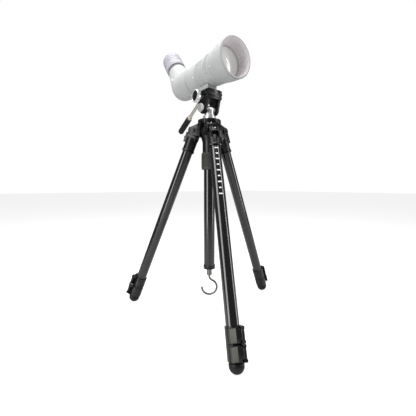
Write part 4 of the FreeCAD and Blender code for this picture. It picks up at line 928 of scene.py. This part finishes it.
@dataclass
class Leg:
    """One leg: casting, tubes, lock collars, flip levers and the rubber foot."""

    number: int
    sleeve_radius: float = 15.2
    sleeve_start: float = 18.0
    sleeve_end: float = 56.0
    lock_radius: float = 16.0
    upper_lock_at: float = 438.6
    lower_lock_at: float = 469.0
    foot_at: float = 505.4
    foot_skirt: float = 6.0
    foot_radius: float = 14.8
    tube_radius: float = 13.4

    def __post_init__(self) -> None:
        """Set the leg's frame: origin at the pivot, -Z down the leg, -Y outwards."""
        pivot = Vector(joint(f"leg_spread_{self.number}")["pos_m"])
        down = Vector(joint(f"upper_slide_{self.number}")["axis"])
        column = Vector(joint("pan_turn")["pos_m"])
        out = Vector((pivot.x - column.x, pivot.y - column.y, 0))
        self.place = axes_frame(pivot, -down, -out.cross(-down))

    def named(self, stem: str) -> str:
        """A piece's name with the leg's number."""
        return f"{stem}_{self.number}"

    def shoulder_cap(self) -> None:
        """Rounded casting shell over the sleeve, with a band at its lower end."""
        start, end, radius = self.sleeve_start, self.sleeve_end, self.sleeve_radius
        profile = [(self.tube_radius + 0.02, -end), (radius + 0.5, -end),
                   (radius + 0.9, -end + 0.8), (radius + 0.9, -end + 6.0),
                   (radius + 0.4, -end + 6.8), (radius, -end + 7.2),
                   (radius, -start - 3.0), (radius - 0.8, -start - 0.8),
                   (radius - 2.6, -start), (self.tube_radius + 0.02, -start)]
        Shape().turn(profile, 72).piece(
            self.named("sleeve_band"), self.place, Library.ENAMEL,
            self.named("leg"), slot="cast_black")
        shape = Shape()
        for side in (1, -1):
            spot = Matrix.Rotation(math.radians(side * 52), 4, "Z") @ Matrix.Translation(
                Vector((0, -radius - 0.9, -end + 3.4)))
            shape.disc(spot @ Matrix.Rotation(math.radians(90), 4, "X"), 1.5, 0.9, 20, 1.2)
        shape.piece(self.named("sleeve_screws"), self.place, Library.STEEL,
                    self.named("leg"), slot="steel_bright")

    def brow(self) -> None:
        """Rounded face of the leg casting in front of the yoke, with its cap screw.

        Its upper edge stops short of the yoke's top, so that it clears the hub when
        the leg swings out to its widest stop.
        """
        shape = Shape()
        verts = [shape.bm.verts.new((x, -12.6, 0.0)) for x in (-16.6, -15.6, 15.6, 16.6)]
        for vert, inward in zip(verts, (1.0, 0.0, 0.0, 1.0)):
            vert.co.y += inward
        edges = [shape.bm.edges.new(pair) for pair in zip(verts, verts[1:])]
        bmesh.ops.rotate(shape.bm, verts=verts, cent=(0, 0, 0),
                         matrix=Matrix.Rotation(math.radians(-26), 3, "X"))
        bmesh.ops.spin(shape.bm, geom=verts + edges, cent=(0, 0, 0), axis=(1, 0, 0),
                       angle=math.radians(72), steps=12)
        bmesh.ops.solidify(shape.bm, geom=shape.bm.faces[:], thickness=1.0)
        shape.soften(0.3, 40, 1)
        shape.piece(self.named("casting_brow"), self.place, Library.ENAMEL,
                    self.named("leg"), slot="cast_black")
        shape = Shape()
        spot = Matrix.Rotation(math.radians(-19), 4, "X") @ Matrix.Translation(
            Vector((-6.0, -13.2, 0.0)))
        shape.disc(spot @ Matrix.Rotation(math.radians(90), 4, "X"), 1.6, 1.0, 20, 1.2)
        shape.piece(self.named("brow_screw"), self.place, Library.MARK,
                    self.named("leg"), slot="steel_bright")

    def tab(self) -> None:
        """Dot on the tab's face that marks the angle stop."""
        shape = Shape()
        shape.disc(Matrix.Translation(Vector((0, -self.sleeve_radius - 4.6, -14.5)))
                   @ Matrix.Rotation(math.radians(90), 4, "X"), 1.5, 0.8, 20, 1.2)
        shape.piece(self.named("tab_dot"), self.place, Library.MARK, self.named("tab"),
                    slot="cast_black")

    def lever_grip(self, level: str, at: float) -> None:
        """Rough pad on the finger end of a flip lever, with the seam beside it."""
        face = -(self.lock_radius + 0.35 + 4.4)
        shape = Shape()
        shape.block((-12.4, face - 0.45, -at - 26.6), (-0.6, face + 0.2, -at - 2.4))
        shape.soften(0.3, 30, 2)
        shape.piece(self.named(level + "_lever_pad"), self.place, Library.NYLON_GRIP,
                    self.named(level + "_lever"), slot="plastic_black")

    def foot(self) -> None:
        """Domed rubber foot with a groove above the dome."""
        rim, radius = -self.foot_at, self.foot_radius
        top = rim + self.foot_skirt
        profile = arc_points(0, rim, radius, -90, -4, 14)
        profile += [(14.1, rim - 0.5), (14.1, rim + 0.7), (14.8, rim + 1.2),
                    (14.8, top - 2.6), (14.0, top - 1.2), (12.4, top), (10.2, top),
                    (10.2, rim - 8.0), (0, rim - 8.0)]
        Shape().turn(profile, 64).piece(
            self.named("foot_rubber"), self.place, Library.RUBBER, self.named("lower"),
            [self.named("foot")], "rubber_black")

    def index_bars(self) -> None:
        """Row of plain white bars down the front leg, as a leg-length scale."""
        shape = Shape()
        for i in range(9):
            at = 62.0 + 14.0 * i
            half = 4.2 if i % 2 == 0 else 2.8
            shape.block((-half, -self.tube_radius - 0.12, -at - 3.0),
                        (half, -self.tube_radius + 0.5, -at))
        shape.soften(0.08, 30, 1)
        shape.piece("leg_scale_bars", self.place, Library.MARK, "leg_1",
                    slot="tube_black")

    def build(self) -> None:
        """Make every piece of the leg."""
        for stem, body, slot, finish, edge in (
                ("leg_top", "leg", "cast_black", Library.ENAMEL, 0.8),
                ("angle_tab", "tab", "plastic_black", Library.NYLON, 0.7),
                ("upper_collar", "leg", "plastic_black", Library.NYLON, 0.6),
                ("lower_collar", "middle", "plastic_black", Library.NYLON, 0.6),
                ("upper_lever", "upper_lever", "plastic_black", Library.NYLON, 0.7),
                ("lower_lever", "lower_lever", "plastic_black", Library.NYLON, 0.7)):
            Casting(self.named(stem), self.named(body), slot, finish, edge).build()
        self.shoulder_cap()
        self.brow()
        self.tab()
        self.lever_grip("upper", self.upper_lock_at)
        self.lever_grip("lower", self.lower_lock_at)
        self.foot()
        if self.number == 1:
            self.index_bars()


# ---------------------------------------------------------------- studio and finishes


def dress_nodes() -> None:
    """Give every CAD node that still shows the finish of its material slot."""
    by_slot = {
        "cast_black": Library.ENAMEL, "tube_black": Library.TUBE,
        "plastic_black": Library.NYLON, "knob_black": Library.NYLON,
        "rubber_grey": Library.COLLAR_RUBBER, "rubber_black": Library.RUBBER,
        "steel_bright": Library.STEEL, "cast_bright": Library.ALLOY,
        "scope_shell": Library.SHADE_PAINT, "scope_rubber": Library.EYE_RUBBER,
        "inner_black": Library.INNER, "optical_glass": Library.GLASS}
    by_node = {"load_hook": Library.WIRE}
    for part in frame["record"]["subparts"]:
        node = frame["nodes"][part["node"]]
        finish = by_node.get(part["node"], by_slot[part["material_slot"]])
        material = Library.get(finish)
        if not node.material_slots:
            node.data.materials.append(material)
        for slot in node.material_slots:
            slot.material = material
        LOG.info("%s: %s", part["node"], material.name)


@dataclass
class Studio:
    """Plain white floor, soft lights and the camera."""

    camera_from_column: tuple[float, float, float] = (-0.4046, -0.5410, 0.3389)
    pitch: float = 90.0 - 4.72
    heading: float = -36.5
    lens: float = 22.46
    floor_reach: float = 30.0
    room_light: float = 0.16
    sensor: float = 36.0
    aim: tuple[float, float, float] = (-0.05, 0.0, 0.35)

    def floor(self) -> None:
        """Large level sheet under the feet."""
        shape = Shape()
        bmesh.ops.create_grid(shape.bm, x_segments=1, y_segments=1,
                              size=self.floor_reach / MM / 2)
        mesh = bpy.data.meshes.new("floor")
        bmesh.ops.scale(shape.bm, vec=Vector((MM, MM, MM)), verts=shape.bm.verts)
        shape.bm.to_mesh(mesh)
        shape.bm.free()
        mesh.materials.append(Library.get(Library.FLOOR))
        floor = bpy.data.objects.new("floor", mesh)
        bpy.context.scene.collection.objects.link(floor)

    def light(self, name: str, spot: Sequence[float], aim: Sequence[float],
              size: tuple[float, float], watts: float) -> None:
        """Add one soft box.

        Args:
            name: The light's name.
            spot: Where it stands, in metres.
            aim: What it faces.
            size: Its width and height in metres.
            watts: Its power.
        """
        data = bpy.data.lights.new(name, "AREA")
        data.shape = "RECTANGLE"
        data.size, data.size_y = size
        data.energy = watts
        lamp = bpy.data.objects.new(name, data)
        bpy.context.scene.collection.objects.link(lamp)
        lamp.location = spot
        way = Vector(aim) - Vector(spot)
        lamp.rotation_euler = way.to_track_quat("-Z", "Y").to_euler()

    def surroundings(self) -> bpy.types.World:
        """White backdrop to the eye, and a dimmer even light on the object.

        Returns:
            The world.
        """
        world = bpy.data.worlds.new("studio")
        world.use_nodes = True
        tree = world.node_tree
        sky = tree.nodes["Background"]
        sky.inputs["Color"].default_value = linear_colour("#FFFFFF")
        seen = add_node(tree, "LightPath").outputs["Is Camera Ray"]
        strength = add_node(tree, "MapRange", {"To Min": self.room_light, "To Max": 1.0},
                            {"Value": seen}).outputs[0]
        tree.links.new(strength, sky.inputs["Strength"])
        return world

    def build(self) -> None:
        """Set the floor, the lights, the surroundings and the camera."""
        self.floor()
        scene = bpy.context.scene
        column = Vector(joint("pan_turn")["pos_m"])
        scene.world = self.surroundings()
        self.light("left_box", (-1.3, -0.15, 0.75), self.aim, (0.6, 1.7), 15)
        self.light("right_box", (0.9, -1.0, 0.75), self.aim, (0.22, 1.7), 8)
        self.light("top_box", (-0.2, -0.1, 1.9), (-0.05, 0, 0.3), (1.4, 1.4), 34)
        data = bpy.data.cameras.new("camera")
        data.lens = self.lens
        data.sensor_width = self.sensor
        data.dof.use_dof = False
        camera = bpy.data.objects.new("camera", data)
        scene.collection.objects.link(camera)
        reach = Vector(self.camera_from_column)
        camera.location = (column.x + reach.x, column.y + reach.y, reach.z)
        camera.rotation_euler = (math.radians(self.pitch), 0, math.radians(self.heading))
        scene.camera = camera
        scene.view_settings.view_transform = "Standard"


def main() -> None:
    """Build the object's looks and the studio."""
    logging.basicConfig(level=logging.INFO, format="%(message)s")
    dress_nodes()
    scope = ScopeBody()
    scope.build()
    Eyepiece(scope.eye_place).build()
    PanHead().build()
    Shoulder().build()
    for number in (1, 2, 3):
        Leg(number).build()
    Studio().build()


if __name__ == "__main__":
    main()
